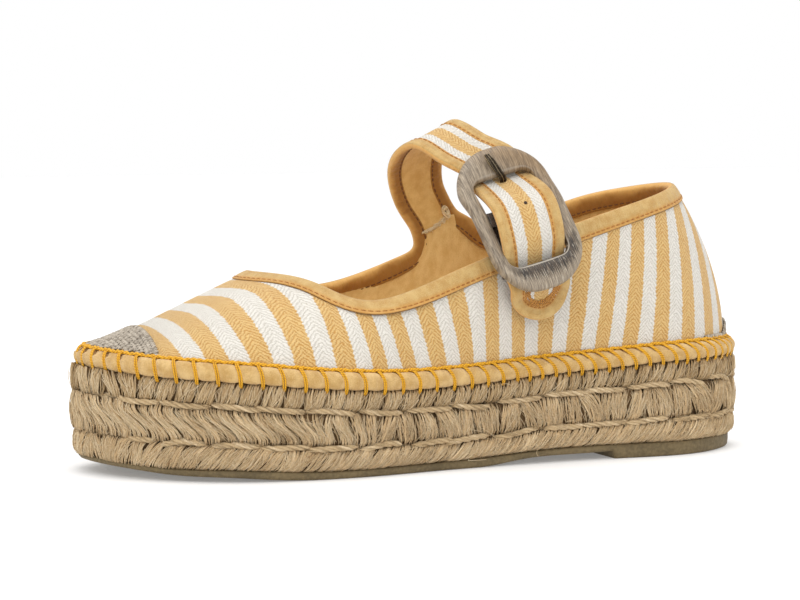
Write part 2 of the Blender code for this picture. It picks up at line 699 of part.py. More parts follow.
def build():
    for thing in list(bpy.data.objects):
        bpy.data.objects.remove(thing, do_unlink=True)
    rubber = paint("rubber", (0.16, 0.125, 0.063), 0.75)
    jute = paint("jute", (0.43, 0.31, 0.17), 0.95)
    cord = paint("jute_cord", (0.36, 0.25, 0.13), 0.95)
    band = paint("band_canvas", (0.84, 0.51, 0.16), 0.9)
    stripe = paint("striped_canvas", (0.80, 0.60, 0.33), 0.9)
    tape = paint("tape", (0.75, 0.45, 0.12), 0.9)
    lining = paint("lining", (0.68, 0.38, 0.12), 0.9)
    knit = paint("knit", (0.38, 0.33, 0.27), 0.9)
    horn = paint("horn", (0.26, 0.22, 0.17), 0.4)
    metal = paint("dark_metal", (0.05, 0.03, 0.018), 0.35, 0.9)
    webbing = paint("dark_webbing", (0.06, 0.035, 0.02), 0.9)
    platform(rubber, jute, cord, band, lining)
    upper_shell(stripe)
    toe_patch(knit)
    heel_patch(knit)
    tape_edge(tape)
    buckle(horn, metal, webbing)
    strap(stripe)


build()
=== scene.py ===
import math

import bpy
import numpy as np
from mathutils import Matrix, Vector


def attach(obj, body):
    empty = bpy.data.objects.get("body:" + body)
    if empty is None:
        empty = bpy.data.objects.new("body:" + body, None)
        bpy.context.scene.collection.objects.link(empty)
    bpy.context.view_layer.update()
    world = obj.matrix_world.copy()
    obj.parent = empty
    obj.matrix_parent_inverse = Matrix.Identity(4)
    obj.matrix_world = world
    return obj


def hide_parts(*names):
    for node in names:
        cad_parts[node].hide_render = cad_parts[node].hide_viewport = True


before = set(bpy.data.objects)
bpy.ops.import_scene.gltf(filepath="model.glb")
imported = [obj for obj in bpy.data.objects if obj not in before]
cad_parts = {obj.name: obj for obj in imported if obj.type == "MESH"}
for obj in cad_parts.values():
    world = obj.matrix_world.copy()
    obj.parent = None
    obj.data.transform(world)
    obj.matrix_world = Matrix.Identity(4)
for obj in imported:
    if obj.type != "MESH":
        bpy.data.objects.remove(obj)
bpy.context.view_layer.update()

MM = 0.001
TAU = 2 * math.pi
# About a full turn, the range of random phases.
ANY_TURN = 6.28
DRAW = np.random.default_rng(11)

# ---- sizes shared with the solids, in millimetres ----
SOLE_LENGTH = 256.0
CENTRE_ACROSS = 1.2
BAND_HEIGHT = 6.0
FEATHER_IN = -3.7
TOE_FEATHER = 2.4
TOE_FEATHER_RUN = (234.0, 252.0)
WALL = 1.8
LOWER_CORD_AT = 0.285
UPPER_CORD_AT = 0.715
TOE_TUCK = 2.6
TOE_TUCK_FROM = 228.0
HEEL_BLOCK_END = 62.0
HEEL_BLOCK_STEP = 3.0
ARCH_END = 118.0
STRAP_WIDTH = 22.6

# Sole edge (along, across), top line (along, across, height), low and high shaping points of the wall.
STATIONS = (
    (0.0, 0.0, 25.6, 0.0, 98.4, 0.01, 0.34, 0.47, 0.74),
    (26.0, -30.0, 36.5, -18.0, 95.8, -0.02, 0.34, 0.42, 0.75),
    (62.0, -33.5, 62.0, -25.0, 89.0, -0.20, 0.34, 0.40, 0.76),
    (105.0, -36.5, 103.0, -30.0, 77.0, -0.20, 0.34, 0.40, 0.76),
    (135.0, -41.0, 131.0, -33.0, 67.5, -0.07, 0.38, 0.48, 0.79),
    (165.0, -47.0, 157.0, -33.5, 60.0, 0.00, 0.40, 0.56, 0.80),
    (207.0, -45.1, 176.0, -25.0, 66.0, 0.07, 0.36, 0.57, 0.79),
    (240.0, -26.0, 187.0, -13.0, 69.0, 0.14, 0.20, 0.58, 0.72),
    (256.0, 6.5, 191.5, 2.0, 69.2, 0.18, 0.08, 0.62, 0.61),
    (242.5, 30.4, 186.0, 16.0, 67.8, 0.16, 0.12, 0.60, 0.67),
    (207.0, 43.5, 173.0, 27.5, 62.8, 0.07, 0.32, 0.57, 0.77),
    (170.0, 45.0, 152.0, 33.5, 61.5, 0.00, 0.40, 0.56, 0.80),
    (138.0, 39.0, 130.0, 33.0, 67.5, -0.07, 0.38, 0.48, 0.79),
    (108.0, 33.5, 108.0, 31.0, 75.0, -0.20, 0.34, 0.40, 0.76),
    (84.0, 32.0, 86.0, 29.0, 78.8, -0.20, 0.34, 0.40, 0.76),
    (60.0, 31.5, 60.0, 25.0, 89.5, -0.20, 0.34, 0.40, 0.76),
    (25.0, 28.5, 36.0, 17.5, 96.0, -0.02, 0.34, 0.42, 0.75),
)
# Along, underside, top of the rubber, top edge of the band.
LEVELS = (
    (0.0, 0.0, 5.2, 41.2), (20.0, 0.0, 5.2, 41.6), (42.0, 0.0, 5.2, 41.2), (62.0, 0.0, 5.2, 39.9),
    (97.0, 1.4, 4.4, 37.9), (118.0, 0.0, 3.2, 36.5), (145.0, 0.0, 2.8, 35.9), (181.0, 0.0, 2.7, 37.9),
    (206.0, 1.1, 3.8, 40.3), (223.0, 2.6, 5.0, 41.6), (240.0, 4.4, 6.5, 42.7), (256.0, 6.2, 8.0, 44.2),
)
# Along, across, height; direction across (heelward, inner, up); width.
STRAP_PATH = (
    (107.0, 30.1, 75.7, 0.95, -0.06, 0.20, 20.0), (108.3, 30.8, 84.2, 0.95, 0.00, 0.18, 19.0),
    (115.2, 28.5, 95.5, 0.98, 0.12, 0.04, 20.5), (118.8, 23.5, 104.5, 0.97, 0.20, 0.02, 22.0),
    (120.8, 13.5, 113.2, 0.92, 0.27, 0.18, 22.4), (119.0, 4.5, 118.0, 0.86, 0.32, 0.38, 22.6),
    (112.2, -8.0, 112.4, 0.92, 0.05, 0.26, 22.6),
)
# Up the buckle, out of it, toward the heel.
STRAP_IN_BUCKLE = ((24.5, -5.3, 0.0), (17.8, -4.5, 0.0), (14.8, -1.2, -0.2), (2.5, 6.5, 0.9),
                   (-9.5, 4.2, 0.4), (-17.8, -4.4, 0.0), (-24.0, -5.3, 0.0))
STRAP_TIP = ((95.6, -37.6, 60.5), (93.6, -38.6, 52.8))
BUCKLE_TOP = (106.2, -22.0, 109.3)
BUCKLE_LOW = (97.4, -45.0, 67.5)
BUCKLE_ACROSS = (0.97, -0.05, 0.22)
BUCKLE_WIDE, BUCKLE_LONG, BUCKLE_CORNER = 36.4, 56.4, 16.5
OPENING_WIDE, OPENING_LONG, OPENING_CORNER = 24.4, 37.0, 4.0
BUCKLE_THICK = 5.4
PIN_RADIUS, PIN_AT = 1.6, 1.5
PRONG_WIDE, PRONG_THICK = 2.8, 2.0
PRONG_REACH = ((5.6, 1.6, 0.1), (8.6, -1.0, 0.2), (12.0, -2.7, 0.1), (14.8, -1.1, -0.3), (16.8, 1.7, -0.9),
               (18.8, 3.7, -2.4), (21.6, 4.6, -3.5), (25.0, 4.4, -4.3))
TAB_WIDE, TAB_THICK = 18.0, 1.2
TAB_REACH = ((-3.0, -3.0, 0.0), (-9.0, -5.0, 0.0), (-18.0, -7.6, 0.0))

# ---- what only the picture has, in millimetres ----
# Length over which the step of the heel block falls.
STEP_RUN = 1.2
# How much lower the sole hangs under the toe than its solid, how far each row of braid sits back there, and the runs
# along the shoe over which both come in.
TOE_HANG, TOE_HANG_RUN = 1.6, (208.0, 238.0)
TOE_BACK, TOE_BACK_RUN = (1.5, 1.0, 1.1), (208.0, 244.0)
# Runs along the shoe over which the forefoot, the toe's tip and the band's toe begin.
FOREFOOT = (150.0, 200.0)
TIP_RUN = (236.0, 252.0)
BAND_TOE = (238.0, 253.0)
# Rows of braid: name, notch between clumps, number of loose fibres, rounding of the strands' ends, how far the strands
# of a clump are gathered at their ends, swell of a clump.
BRAID = (("bottom", 0.35, 2100, 2.0, 0.06, 0.22), ("middle", 1.2, 2700, 1.7, 0.12, 0.50),
         ("top", 2.3, 1500, 1.9, 0.10, 0.40))
STRAND_PITCH = 0.54
STRAND_RADIUS = 0.38
# Cord and chain: mean length of a stitch, length of a twist.
CORD_STITCH, CORD_TWIST = 18.0, 11.0
CHAIN_TWIST = 4.6
BLANKET_RADIUS, CHAIN_RADIUS = 0.32, 0.50
# Section of the band: out, up, softness. The height over which it is rounded.
BAND_SECTION = ((-3.4, 0.0, 0.0), (-0.9, 0.0, 0.0), (-0.15, 0.55, 0.4), (0.30, 1.3, 0.8), (0.50, 2.2, 1.0),
                (0.52, 3.1, 1.0), (0.35, 4.0, 1.0), (-0.05, 4.8, 1.0), (-0.7, 5.5, 0.9), (-1.5, 5.85, 0.8),
                (-2.4, 5.9, 0.6), (-3.4, 5.5, 0.2))
BAND_ROUND = 5.8
# Path of a blanket stitch over the band: out, up.
BAND_PATH = ((-3.0, 6.1), (-2.3, 6.25), (-1.4, 5.95), (-0.7, 5.3), (-0.2, 4.4), (0.08, 3.5), (0.18, 2.6), (0.14, 1.5),
             (-0.05, 0.5), (-0.3, -0.5), (-0.8, -1.4), (-1.6, -2.0))
# Stripes of the upper from the heel: along at the band, slant toward the heel for each millimetre of height.
STRIPES = ((3.0, 0.05), (14.5, 0.04), (26.3, 0.03), (37.5, -0.07), (50.2, -0.124), (62.3, -0.166),
           (73.1, -0.149), (85.2, -0.088), (96.5, 0.0), (106.8, 0.0), (117.4, 0.034), (127.5, 0.194),
           (140.5, 0.255), (152.1, 0.28), (163.9, 0.24), (179.3, 0.13), (194.0, 0.26), (209.1, 0.36),
           (223.6, 0.33), (238.0, 0.3), (252.0, 0.3), (266.0, 0.3))
# How far stripes bow toward the toe over the top of the foot: along, millimetres, where the bow starts across.
BOW = ((150.0, 0.0, -36.0), (165.0, 3.0, -36.0), (184.0, 11.0, -36.0), (200.0, 6.0, -22.0), (213.0, 3.2, -14.0),
       (226.0, 0.6, -14.0), (240.0, 0.0, -14.0))
# How much higher the cloth is drawn just behind the strap, on the inner side.
REAR_RISE = 11.0
# Strap: millimetres to a pair of stripes; how far its cloth stays inside its edge.
STRAP_PERIOD = 11.2
RIBBON_INSET = 1.3
# Where the bound edge leaves the collar for the strap, along; how far inside the strap's edge it runs.
REAR_TURN = 90.5
FRONT_TURN = 125.5
STRAP_INSET = 0.9
# Binding: length of a stitch, its distance from the edge; half the space between the tape's legs; how much narrower
# and flatter the tape is on the strap.
STITCH_STEP = 2.2
STITCH_DEEP = 4.75
TAPE_HALF = 0.95
NARROWER, FLATTER = 0.32, 0.45
# Section of one leg of the binding: distance from the edge, height over the cloth.
OUTER_LEG = ((-5.7, 0.05), (-5.85, 0.3), (-5.65, 0.52), (-5.2, 0.56), (-4.75, 0.38), (-4.2, 0.58), (-3.2, 0.74),
             (-2.0, 0.80), (-0.8, 0.80), (0.2, 0.66), (0.8, 0.3))
# Wear of the frame's outline outside and inside; how much shorter its opening is, and how far down it sits; the
# frame's turn in its plane, in degrees, and how full its section is (0.5 is nearly square, 1 round).
WORN_OUTSIDE, WORN_INSIDE = 1.9, 0.9
OPENING_SHORTER, OPENING_DOWN = 1.7, 0.15
FRAME_TURN = 2.5
FRAME_FULLNESS = 0.74
# Space between the pin and what bends round it; how much farther the webbing tab reaches on the toe side.
PIN_GAP = 0.3
TAB_TOEWARD = 2.6
# Rows of heavy stitches round the strap's tip: radius, number of stitches.
TIP_ROWS = ((4.7, 17), (5.25, 19), (5.8, 20), (6.35, 21))
# Knitted guards: piece, middle of its run round the shoe and half its length, as shares of the whole round.
GUARDS = (("toe", 0.4875, 0.075), ("heel", 0.0, 0.055))
# Knit: height of a row, length of a stitch.
KNIT_ROW, KNIT_STITCH = 1.55, 1.9
# Camera: turn and rise in degrees, distance and target in metres, lens and sensor width in millimetres.
AZIMUTH, ELEVATION, DISTANCE = -22.0, 4.279, 1.1
TARGET = (-0.0066, 0.0003, 0.05794)
LENS, SENSOR = 136.25, 36.0
# Light given off by the floor: a painted glow that lightens the shadows on it and under the shoe. Lights: name, spot,
# size, power, in metres and watts.
FLOOR_GLOW = 0.20
LIGHTS = (("key", (-0.65, -0.8, 1.15), 0.9, 4.4), ("top", (0.0, 0.0, 1.5), 1.1, 9.0),
          ("front", (-0.45, -1.15, 0.40), 1.0, 2.1))


# ---- curves ----
def smooth(x, low, high):
    x = np.clip((x - low) / (high - low), 0.0, 1.0)
    return x * x * (3.0 - 2.0 * x)


def unit(vectors):
    vectors = np.asarray(vectors, dtype=float)
    return vectors / np.linalg.norm(vectors, axis=-1, keepdims=True)


def square_to(run, directions):
    """Unit directions made square to a run."""
    return unit(directions - run * (directions * run).sum(axis=1)[:, None])


def sample(at, knots, rows):
    """Rows of a table read between its knots."""
    return np.stack([np.interp(at, knots, column) for column in rows.T], axis=-1)


def closed(rows):
    return np.concatenate([rows, rows[:1]])


def paired(a, b):
    """Two fields as one field of pairs."""
    return np.stack(np.broadcast_arrays(a, b), axis=-1)


def closed_spline(knots, values):
    """Second derivatives of a closed cubic through the rows of values."""
    count = len(values)
    steps = np.diff(np.append(knots, 1.0))
    system = np.zeros((count, count))
    target = np.zeros_like(values)
    for i in range(count):
        before, after, follow = steps[i - 1], steps[i], (i + 1) % count
        system[i, i - 1] += before
        system[i, i] += 2.0 * (before + after)
        system[i, follow] += after
        target[i] = 6.0 * ((values[follow] - values[i]) / after - (values[i] - values[i - 1]) / before)
    return np.linalg.solve(system, target)


def hermite(knots, spans, values, slopes, at):
    """Cubic pieces through values, with slopes at knots, read at places between them."""
    index = np.clip(np.searchsorted(knots, at, side="right") - 1, 0, len(spans) - 1)
    width, u = spans[index], (at - knots[index]) / spans[index]
    if values.ndim > 1:
        width, u = width[:, None], u[:, None]
    start = (2 * u ** 3 - 3 * u ** 2 + 1) * values[index] + (u ** 3 - 2 * u ** 2 + u) * width * slopes[index]
    return start + ((3 * u ** 2 - 2 * u ** 3) * values[index + 1] + (u ** 3 - u ** 2) * width * slopes[index + 1])


def run_lengths(points):
    """Distance along lines of points, from zero."""
    steps = np.linalg.norm(np.diff(points[..., :3], axis=-2), axis=-1)
    return np.concatenate([np.zeros_like(steps[..., :1]), np.cumsum(steps, axis=-1)], axis=-1)


def resample(points, count):
    """Even points along a line."""
    run = run_lengths(points)
    return sample(np.linspace(0.0, run[-1], count), run, points)


def open_curve(points, count):
    """Even points on a smooth open curve through the given ones (any number of columns)."""
    points = np.asarray(points, dtype=float)
    spans = np.linalg.norm(np.diff(points[:, :3], axis=0), axis=1) ** 0.5
    knots = np.concatenate([[0.0], np.cumsum(spans)])
    fine = np.linspace(0.0, knots[-1], 400)
    return resample(hermite(knots, spans, points, np.gradient(points, knots, axis=0), fine), count)


def level(column, along):
    """A height of the sole at a place along it."""
    table = np.array(LEVELS)
    knots, values = table[:, 0], table[:, column]
    slopes = np.gradient(values, knots)
    flat = np.diff(values) == 0.0
    slopes[:-1][flat] = 0.0
    slopes[1:][flat] = 0.0
    return hermite(knots, np.diff(knots), values, slopes, np.clip(along, knots[0], knots[-1]))


TABLE = np.array(STATIONS)
SPANS = np.linalg.norm(np.roll(TABLE[:, :2], -1, axis=0) - TABLE[:, :2], axis=1) ** 0.5
KNOTS = np.concatenate([[0.0], np.cumsum(SPANS)[:-1]]) / SPANS.sum()
BENDS = closed_spline(KNOTS, TABLE)


def stations(places):
    """Rows of the station table at places round the shoe, 0..1 from the heel by the outer side."""
    places = np.asarray(places) % 1.0
    index = np.searchsorted(KNOTS, places, side="right") - 1
    follow = (index + 1) % len(KNOTS)
    steps = np.diff(np.append(KNOTS, 1.0))[index][..., None]
    ahead = (places - KNOTS[index])[..., None]
    left = steps - ahead
    cubic = (BENDS[index] * left ** 3 + BENDS[follow] * ahead ** 3) / (6.0 * steps)
    line = (TABLE[index] / steps - BENDS[index] * steps / 6.0) * left
    return cubic + line + (TABLE[follow] / steps - BENDS[follow] * steps / 6.0) * ahead


def outward(places):
    """Direction out of the sole's edge at places (along, across)."""
    small = 1e-4
    run = unit(stations(np.asarray(places) + small)[..., :2] - stations(np.asarray(places) - small)[..., :2])
    return np.stack([run[..., 1], -run[..., 0]], axis=-1)


def to_world(rows):
    """Along, across, height to the frame's axes, still in millimetres."""
    rows = np.asarray(rows, dtype=float)
    return np.stack([SOLE_LENGTH / 2 - rows[..., 0], rows[..., 1] + CENTRE_ACROSS, rows[..., 2]], axis=-1)


def outward_in_world(places):
    flat = outward(places)
    return np.stack([-flat[..., 0], flat[..., 1], np.zeros(flat.shape[:-1])], axis=-1)


def lifted(flat, height):
    """World points from flat ones (along, across) and a height."""
    return to_world(np.concatenate([flat, np.broadcast_to(height, flat.shape[:-1])[..., None]], axis=-1))


FINE = np.linspace(0.0, 1.0, 6001)
FINE_RUN = run_lengths(stations(FINE)[:, :2])
GIRTH = FINE_RUN[-1]


def place_at(arcs):
    """Place round the shoe at a distance in millimetres along the sole's edge from the heel."""
    return np.interp(np.asarray(arcs) % GIRTH, FINE_RUN, FINE)


def along_at(arcs):
    return stations(place_at(arcs))[..., 0]


def rim(arcs, offset, height):
    """World points round the sole: moved out by offset, at a height."""
    arcs, offset, height = np.broadcast_arrays(arcs, offset, height)
    places = place_at(arcs)
    return lifted(stations(places)[..., :2] + outward(places) * offset[..., None], height)


def rim_normals(arcs):
    return outward_in_world(place_at(arcs))


def wall_points(places, share):
    """World points of the upper's outer face; share 0 at the feather line, 1 at the top line."""
    rows = stations(places)
    share = np.broadcast_to(share, rows.shape[:1])
    foot = rows[:, :2] + outward(places) * (FEATHER_IN - TOE_FEATHER * smooth(rows[:, :1], *TOE_FEATHER_RUN))
    base = level(3, rows[:, 0])
    low, high = 3 * share * (1 - share) ** 2, 3 * share ** 2 * (1 - share)
    a, b = (low * rows[:, k] + high * rows[:, k + 2] + share ** 3 for k in (5, 6))
    return lifted(foot + (rows[:, 2:4] - foot) * a[:, None], base + (rows[:, 4] - base) * b)


def wall_normals(places, share):
    step = 1e-3
    low, high = (wall_points(places, np.clip(share + s, 0.0, 1.0)) for s in (-step, step))
    run = wall_points(places + step, share) - wall_points(places - step, share)
    normal = unit(np.cross(run, high - low))
    return normal * np.sign((normal * outward_in_world(places)).sum(axis=1) + 1e-9)[:, None]


def wall_row(places, share, offset):
    return wall_points(places, share) + wall_normals(places, share) * np.reshape(offset, (-1, 1))


# ---- meshes ----
def link(thing):
    bpy.context.scene.collection.objects.link(thing)
    return thing


def fill(block, key, values, kind=np.float32):
    block.foreach_set(key, np.asarray(values).astype(kind).ravel())


def add_piece(name, points, polygons, material, stands_for=(), uv=None, strand=None):
    """A mesh piece from world points in millimetres and arrays of equal-sided polygons."""
    points = points.reshape(-1, 3)
    corners = points[polygons[0]]
    volume = 0.0
    for k in range(1, corners.shape[1] - 1):
        volume += (corners[:, 0] * np.cross(corners[:, k], corners[:, k + 1])).sum()
    if volume < 0.0:
        polygons = [p[:, ::-1] for p in polygons]
        uv = uv and [u[:, ::-1] for u in uv]
    mesh = bpy.data.meshes.new(name)
    mesh.vertices.add(len(points))
    fill(mesh.vertices, "co", points * MM)
    loops = np.concatenate([p.ravel() for p in polygons])
    totals = np.concatenate([np.full(len(p), p.shape[1]) for p in polygons])
    mesh.loops.add(len(loops))
    fill(mesh.loops, "vertex_index", loops, np.int32)
    mesh.polygons.add(len(totals))
    fill(mesh.polygons, "loop_start", np.concatenate([[0], np.cumsum(totals)[:-1]]), np.int32)
    mesh.update(calc_edges=True)
    mesh.validate()
    fill(mesh.polygons, "use_smooth", totals > 0, bool)
    if uv:
        fill(mesh.uv_layers.new(name="cloth").data, "uv", np.concatenate([u.reshape(-1, 2) for u in uv]))
    if strand is not None:
        fill(mesh.attributes.new("strand", "FLOAT_VECTOR", "POINT").data, "vector", strand)
    mesh.materials.append(material)
    thing = link(bpy.data.objects.new(name, mesh))
    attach(thing, "root")
    if stands_for:
        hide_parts(*stands_for)
    return thing


def grid_faces(rows, cols, close_rows=False):
    """Quads of a grid of closed rings, and the matching picks from a field grid that isn't closed."""
    r = np.arange(rows if close_rows else rows - 1)[:, None]
    corners = [(r + dr, np.arange(cols) + dc) for dr, dc in ((0, 0), (0, 1), (1, 1), (1, 0))]
    faces = [(a % rows * cols + b % cols).ravel() for a, b in corners]
    picks = [(a * (cols + 1) + b).ravel() for a, b in corners]
    return np.stack(faces, axis=1), np.stack(picks, axis=1)


def end_caps(cols, last):
    """A grid's first ring and the ring that starts at last, as polygons."""
    return np.stack([np.arange(cols)[::-1], last + np.arange(cols)])


def skin(name, grid, field, material, stands_for=(), capped=False):
    """A closed skin over a grid of rings, the last joined to the first or both capped; field: its cloth corners."""
    rows, cols = grid.shape[:2]
    faces, picks = grid_faces(rows, cols, not capped)
    polygons, picks = [faces], [picks]
    if capped:
        polygons.append(end_caps(cols, (rows - 1) * cols))
        picks.append(end_caps(cols, (rows - 1) * (cols + 1)))
    field = field.reshape(-1, 2)
    return add_piece(name, grid, polygons, material, stands_for, uv=[field[p] for p in picks])


def tube_mesh(paths, normals, radius, sides):
    """Tubes along paths (count, steps, 3). Returns points, polygons and the strand field."""
    count, steps = paths.shape[:2]
    run = unit(np.gradient(paths, axis=1))
    side = unit(np.cross(run, np.broadcast_to(normals, paths.shape)))
    up = np.cross(side, run)
    radius = np.broadcast_to(radius, (count, steps))[:, :, None, None]
    turn = np.arange(sides) * TAU / sides
    ring = side[:, :, None] * np.cos(turn)[:, None] + up[:, :, None] * np.sin(turn)[:, None]
    points = paths[:, :, None] + ring * radius
    base = (np.arange(count) * steps * sides)[:, None, None]
    polygons = [(faces + base).reshape(-1, faces.shape[1])
                for faces in (grid_faces(steps, sides)[0], end_caps(sides, (steps - 1) * sides))]
    field = np.zeros((count, steps, sides, 3))
    field[..., 0] = run_lengths(paths)[:, :, None]
    field[..., 1] = np.abs(np.arange(sides) / sides * 2 - 1)
    field[..., 2] = DRAW.random(count)[:, None, None]
    return points.reshape(-1, 3), polygons, field.reshape(-1, 3)


def tubes(name, parts, material, stands_for=()):
    """Several tube meshes as one piece. Polygons with the same number of sides are put together."""
    shapes = {}
    start = 0
    for points, groups, _ in parts:
        for polygons in groups:
            shapes.setdefault(polygons.shape[1], []).append(polygons + start)
        start += len(points)
    points, field = (np.concatenate([part[k] for part in parts]) for k in (0, 2))
    add_piece(name, points, [np.concatenate(s) for s in shapes.values()], material, stands_for, strand=field)


# ---- materials ----
def tone(*colour):
    """A colour given in display values 0..255."""
    values = [c / 255.0 for c in colour]
    return tuple(c / 12.92 if c < 0.04045 else ((c + 0.055) / 1.055) ** 2.4 for c in values) + (1.0,)


class Wire:
    """An output of a material node; arithmetic on it writes more nodes."""

    def __init__(self, finish, socket):
        self.finish, self.socket = finish, socket

    def math(self, kind, other=0.0):
        return self.finish.node("Math", {0: self, 1: other, 2: 0.0}, operation=kind)

    def __add__(self, other):
        return self.math("ADD", other)

    def __sub__(self, number):
        return self.math("ADD", -number)

    def __mul__(self, other):
        return self.math("MULTIPLY", other)

    def sine(self, rate):
        return (self * rate).math("SINE")

    def spread(self, low, high, out_low=0.0, out_high=1.0):
        """A smooth ramp from out_low at low to out_high at high."""
        inputs = dict(enumerate((self, low, high, out_low, out_high)))
        return self.finish.node("MapRange", inputs, interpolation_type="SMOOTHSTEP")


class Finish:
    """A small writer of material nodes. Colours are given in display values 0..255."""

    def __init__(self, name, roughness=0.9, **fixed):
        self.material = bpy.data.materials.new(name)
        self.material.use_nodes = True
        self.tree = self.material.node_tree
        self.tree.nodes.clear()
        self.surface = self.tree.nodes.new("ShaderNodeBsdfPrincipled")
        out = self.tree.nodes.new("ShaderNodeOutputMaterial")
        self.tree.links.new(self.surface.outputs[0], out.inputs["Surface"])
        self.feed("Roughness", roughness)
        for socket, value in fixed.items():
            self.feed(socket.replace("_", " "), value)

    def feed(self, key, value, node=None):
        socket = (node or self.surface).inputs[key]
        if isinstance(value, Wire):
            self.tree.links.new(value.socket, socket)
        else:
            socket.default_value = tone(*value) if isinstance(value, tuple) else value

    def node(self, kind, inputs, output=0, **settings):
        """A new node with its settings and inputs; gives the wire from one of its outputs."""
        node = self.tree.nodes.new("ShaderNode" + kind)
        for key, value in settings.items():
            setattr(node, key, value)
        for key, value in inputs.items():
            self.feed(key, value, node)
        return Wire(self, node.outputs[output])

    def split(self, vector):
        first = self.node("SeparateXYZ", {0: vector})
        return [Wire(self, socket) for socket in first.socket.node.outputs]

    def cloth(self):
        return self.split(self.node("UVMap", {}, uv_map="cloth"))

    def strand(self):
        return self.split(self.node("Attribute", {}, "Vector", attribute_name="strand"))

    def object_place(self):
        return self.node("TexCoord", {}, "Object")

    def join(self, x, y, z=0.0):
        return self.node("CombineXYZ", {0: x, 1: y, 2: z})

    def noise(self, vector, scale, detail=2.0, roughness=0.5):
        return self.node("TexNoise", {"Vector": vector, "Scale": scale, "Detail": detail, "Roughness": roughness})

    def mix(self, share, first, second):
        return self.node("Mix", {0: share, 6: first, 7: second}, 2, data_type="RGBA")

    def done(self, colour, height=None, roughness=None):
        """Colour, relief height in millimetres, varying roughness."""
        self.feed("Base Color", colour)
        if roughness:
            self.feed("Roughness", roughness)
        if height:
            self.feed("Normal", self.node("Bump", {"Distance": MM, "Height": height}))
        return self.material


def herringbone(name, yellow, white):
    """Striped canvas: chevron weave with one apex to a stripe. u counts white stripes, v is millimetres."""
    f = Finish(name, 0.85, Sheen_Weight=0.15)
    u, v, _ = f.cloth()
    flat = f.join(u * 11.5, v)
    u = u + (f.noise(f.join(u * 3.0, v), 0.35) - 0.5) * 0.06
    from_white, from_yellow = ((x.math("FRACT") - 0.5).math("ABSOLUTE") for x in (u + 0.5, u))
    apex = from_white.math("MINIMUM", from_yellow)
    jitter = f.noise(flat, 0.8) * 1.4 + f.noise(flat, 2.6) * 0.6
    slant = v * (1.0 / HERRINGBONE_PITCH) + apex * 9.0 + jitter
    is_white = (from_white + slant.sine(TAU) * 0.014).spread(0.256, 0.230)
    rib = slant.sine(math.pi).math("ABSOLUTE").math("POWER", 0.9)
    cell = f.join(slant.math("FLOOR"), (u * 2.0).math("FLOOR"))
    yarn = f.node("TexWhiteNoise", {"Vector": cell}, "Value")
    cross = (v + apex * -9.0).sine(TAU * 1.15)
    fine = f.noise(flat, 2.6, 3.0, 0.6)
    fleck = f.noise(flat, 1.5, 2.0, 0.6)
    height = rib * 0.17 + (cross * 0.05 + fine * 0.28)
    # Partly painted shade: depth darkens the colour in the grooves between the ribs, and speck puts brown flecks only
    # in those grooves; yarn, fine and fleck add tone that differs at random.
    depth = rib * 0.52 + (fine * 0.60 + (yarn * 0.10 + cross * 0.04))
    depth = (depth + (fleck - 0.5) * 0.5).spread(0.25, 1.0)
    speck = f.noise(flat, 1.7, 2.0, 0.6).spread(0.60, 0.70) * rib.spread(0.8, 0.3)
    stripes = []
    for colour, darker, share, spot in ((yellow, (0.86, 0.74, 0.50), 0.75, (158, 104, 40)),
                                        (white, (0.87, 0.86, 0.84), 0.6, (176, 160, 138))):
        deep = tuple(c * d for c, d in zip(colour, darker))
        stripes.append(f.mix(speck * share, f.mix(depth, deep, colour), spot))
    return f.done(f.mix(is_white, *stripes), height)


def plain_cloth(name, colour, shade, scale=1.0, relief=0.10, crease=0.0, inner=None, sheen=0.2):
    """Plain woven cotton; u and v in millimetres. crease: depth of soft folds; inner: colour of a tape's inner leg,
    painted shade, which also brings a painted shade lip along the outer leg's lower edge.
    """
    f = Finish(name, 0.85, Sheen_Weight=sheen)
    u, v, _ = f.cloth()
    rate = TAU / (0.55 * scale)
    blotch = f.noise(f.join(u, v), 0.25, 3.0)
    fine = f.noise(f.join(u, v), 2.5)
    height = u.sine(rate) * v.sine(rate) * (relief * 0.35) + fine * relief
    if crease:
        height = height + f.noise(f.join(u * 0.55, v * 0.16), 1.0) * crease
    now = f.mix((blotch * 0.6 + fine * 0.4).spread(0.35, 0.65), shade, colour)
    if inner:
        # Painted shade: darker along the outer leg's lower edge, and the inner leg darkens from its fold inward.
        now = f.mix(v.spread(3.4, 1.4) * 0.6, now, LIP_SHADE)
        cloud = v + (f.noise(f.join(u, v), 0.12, 3.0) - 0.5) * 7.0
        inside = f.mix(cloud.spread(INNER_FROM + 1.5, INNER_FROM + 6.0), INNER_FOLD_SHADE, inner)
        now = f.mix(v.spread(INNER_FROM, INNER_FROM + 0.8), now, inside)
    return f.done(now, height)


def fibre(name, dark, middle, light, relief=0.22):
    """Vegetable fibre: fine lines along each strand, woolly flecks, tint by strand."""
    f = Finish(name, 0.95)
    u, v, seed = f.strand()
    lines = f.noise(f.join(u * 0.25, v * 5.0, seed * 91.0), 1.0, 5.0, 0.7)
    fine = f.noise(f.join(u * 0.9, v * 9.0, seed * 37.0), 1.0, 4.0, 0.7)
    wool = f.noise(f.object_place(), 1500.0, 4.0, 0.7)
    cloud = f.noise(f.object_place(), 90.0)
    share = lines * 0.30 + (fine * 0.30 + (wool * 0.20 + cloud * 0.20)) + (seed - 0.5) * 0.10
    low = f.mix(share.spread(0.36, 0.47), dark, middle)
    height = lines * relief + (fine * relief + wool * (relief * 0.9))
    return f.done(f.mix(share.spread(0.48, 0.62), low, light), height)


def thread(name, colour, shade, pitch=0.9):
    """Twisted sewing thread."""
    f = Finish(name, 0.65, Sheen_Weight=0.05)
    u, v, seed = f.strand()
    twist = (u * (1.0 / pitch) + v).sine(TAU)
    return f.done(f.mix((twist + seed * 0.6).spread(-0.9, 1.1), shade, colour), twist * 0.05)


HERRINGBONE_PITCH = 1.55
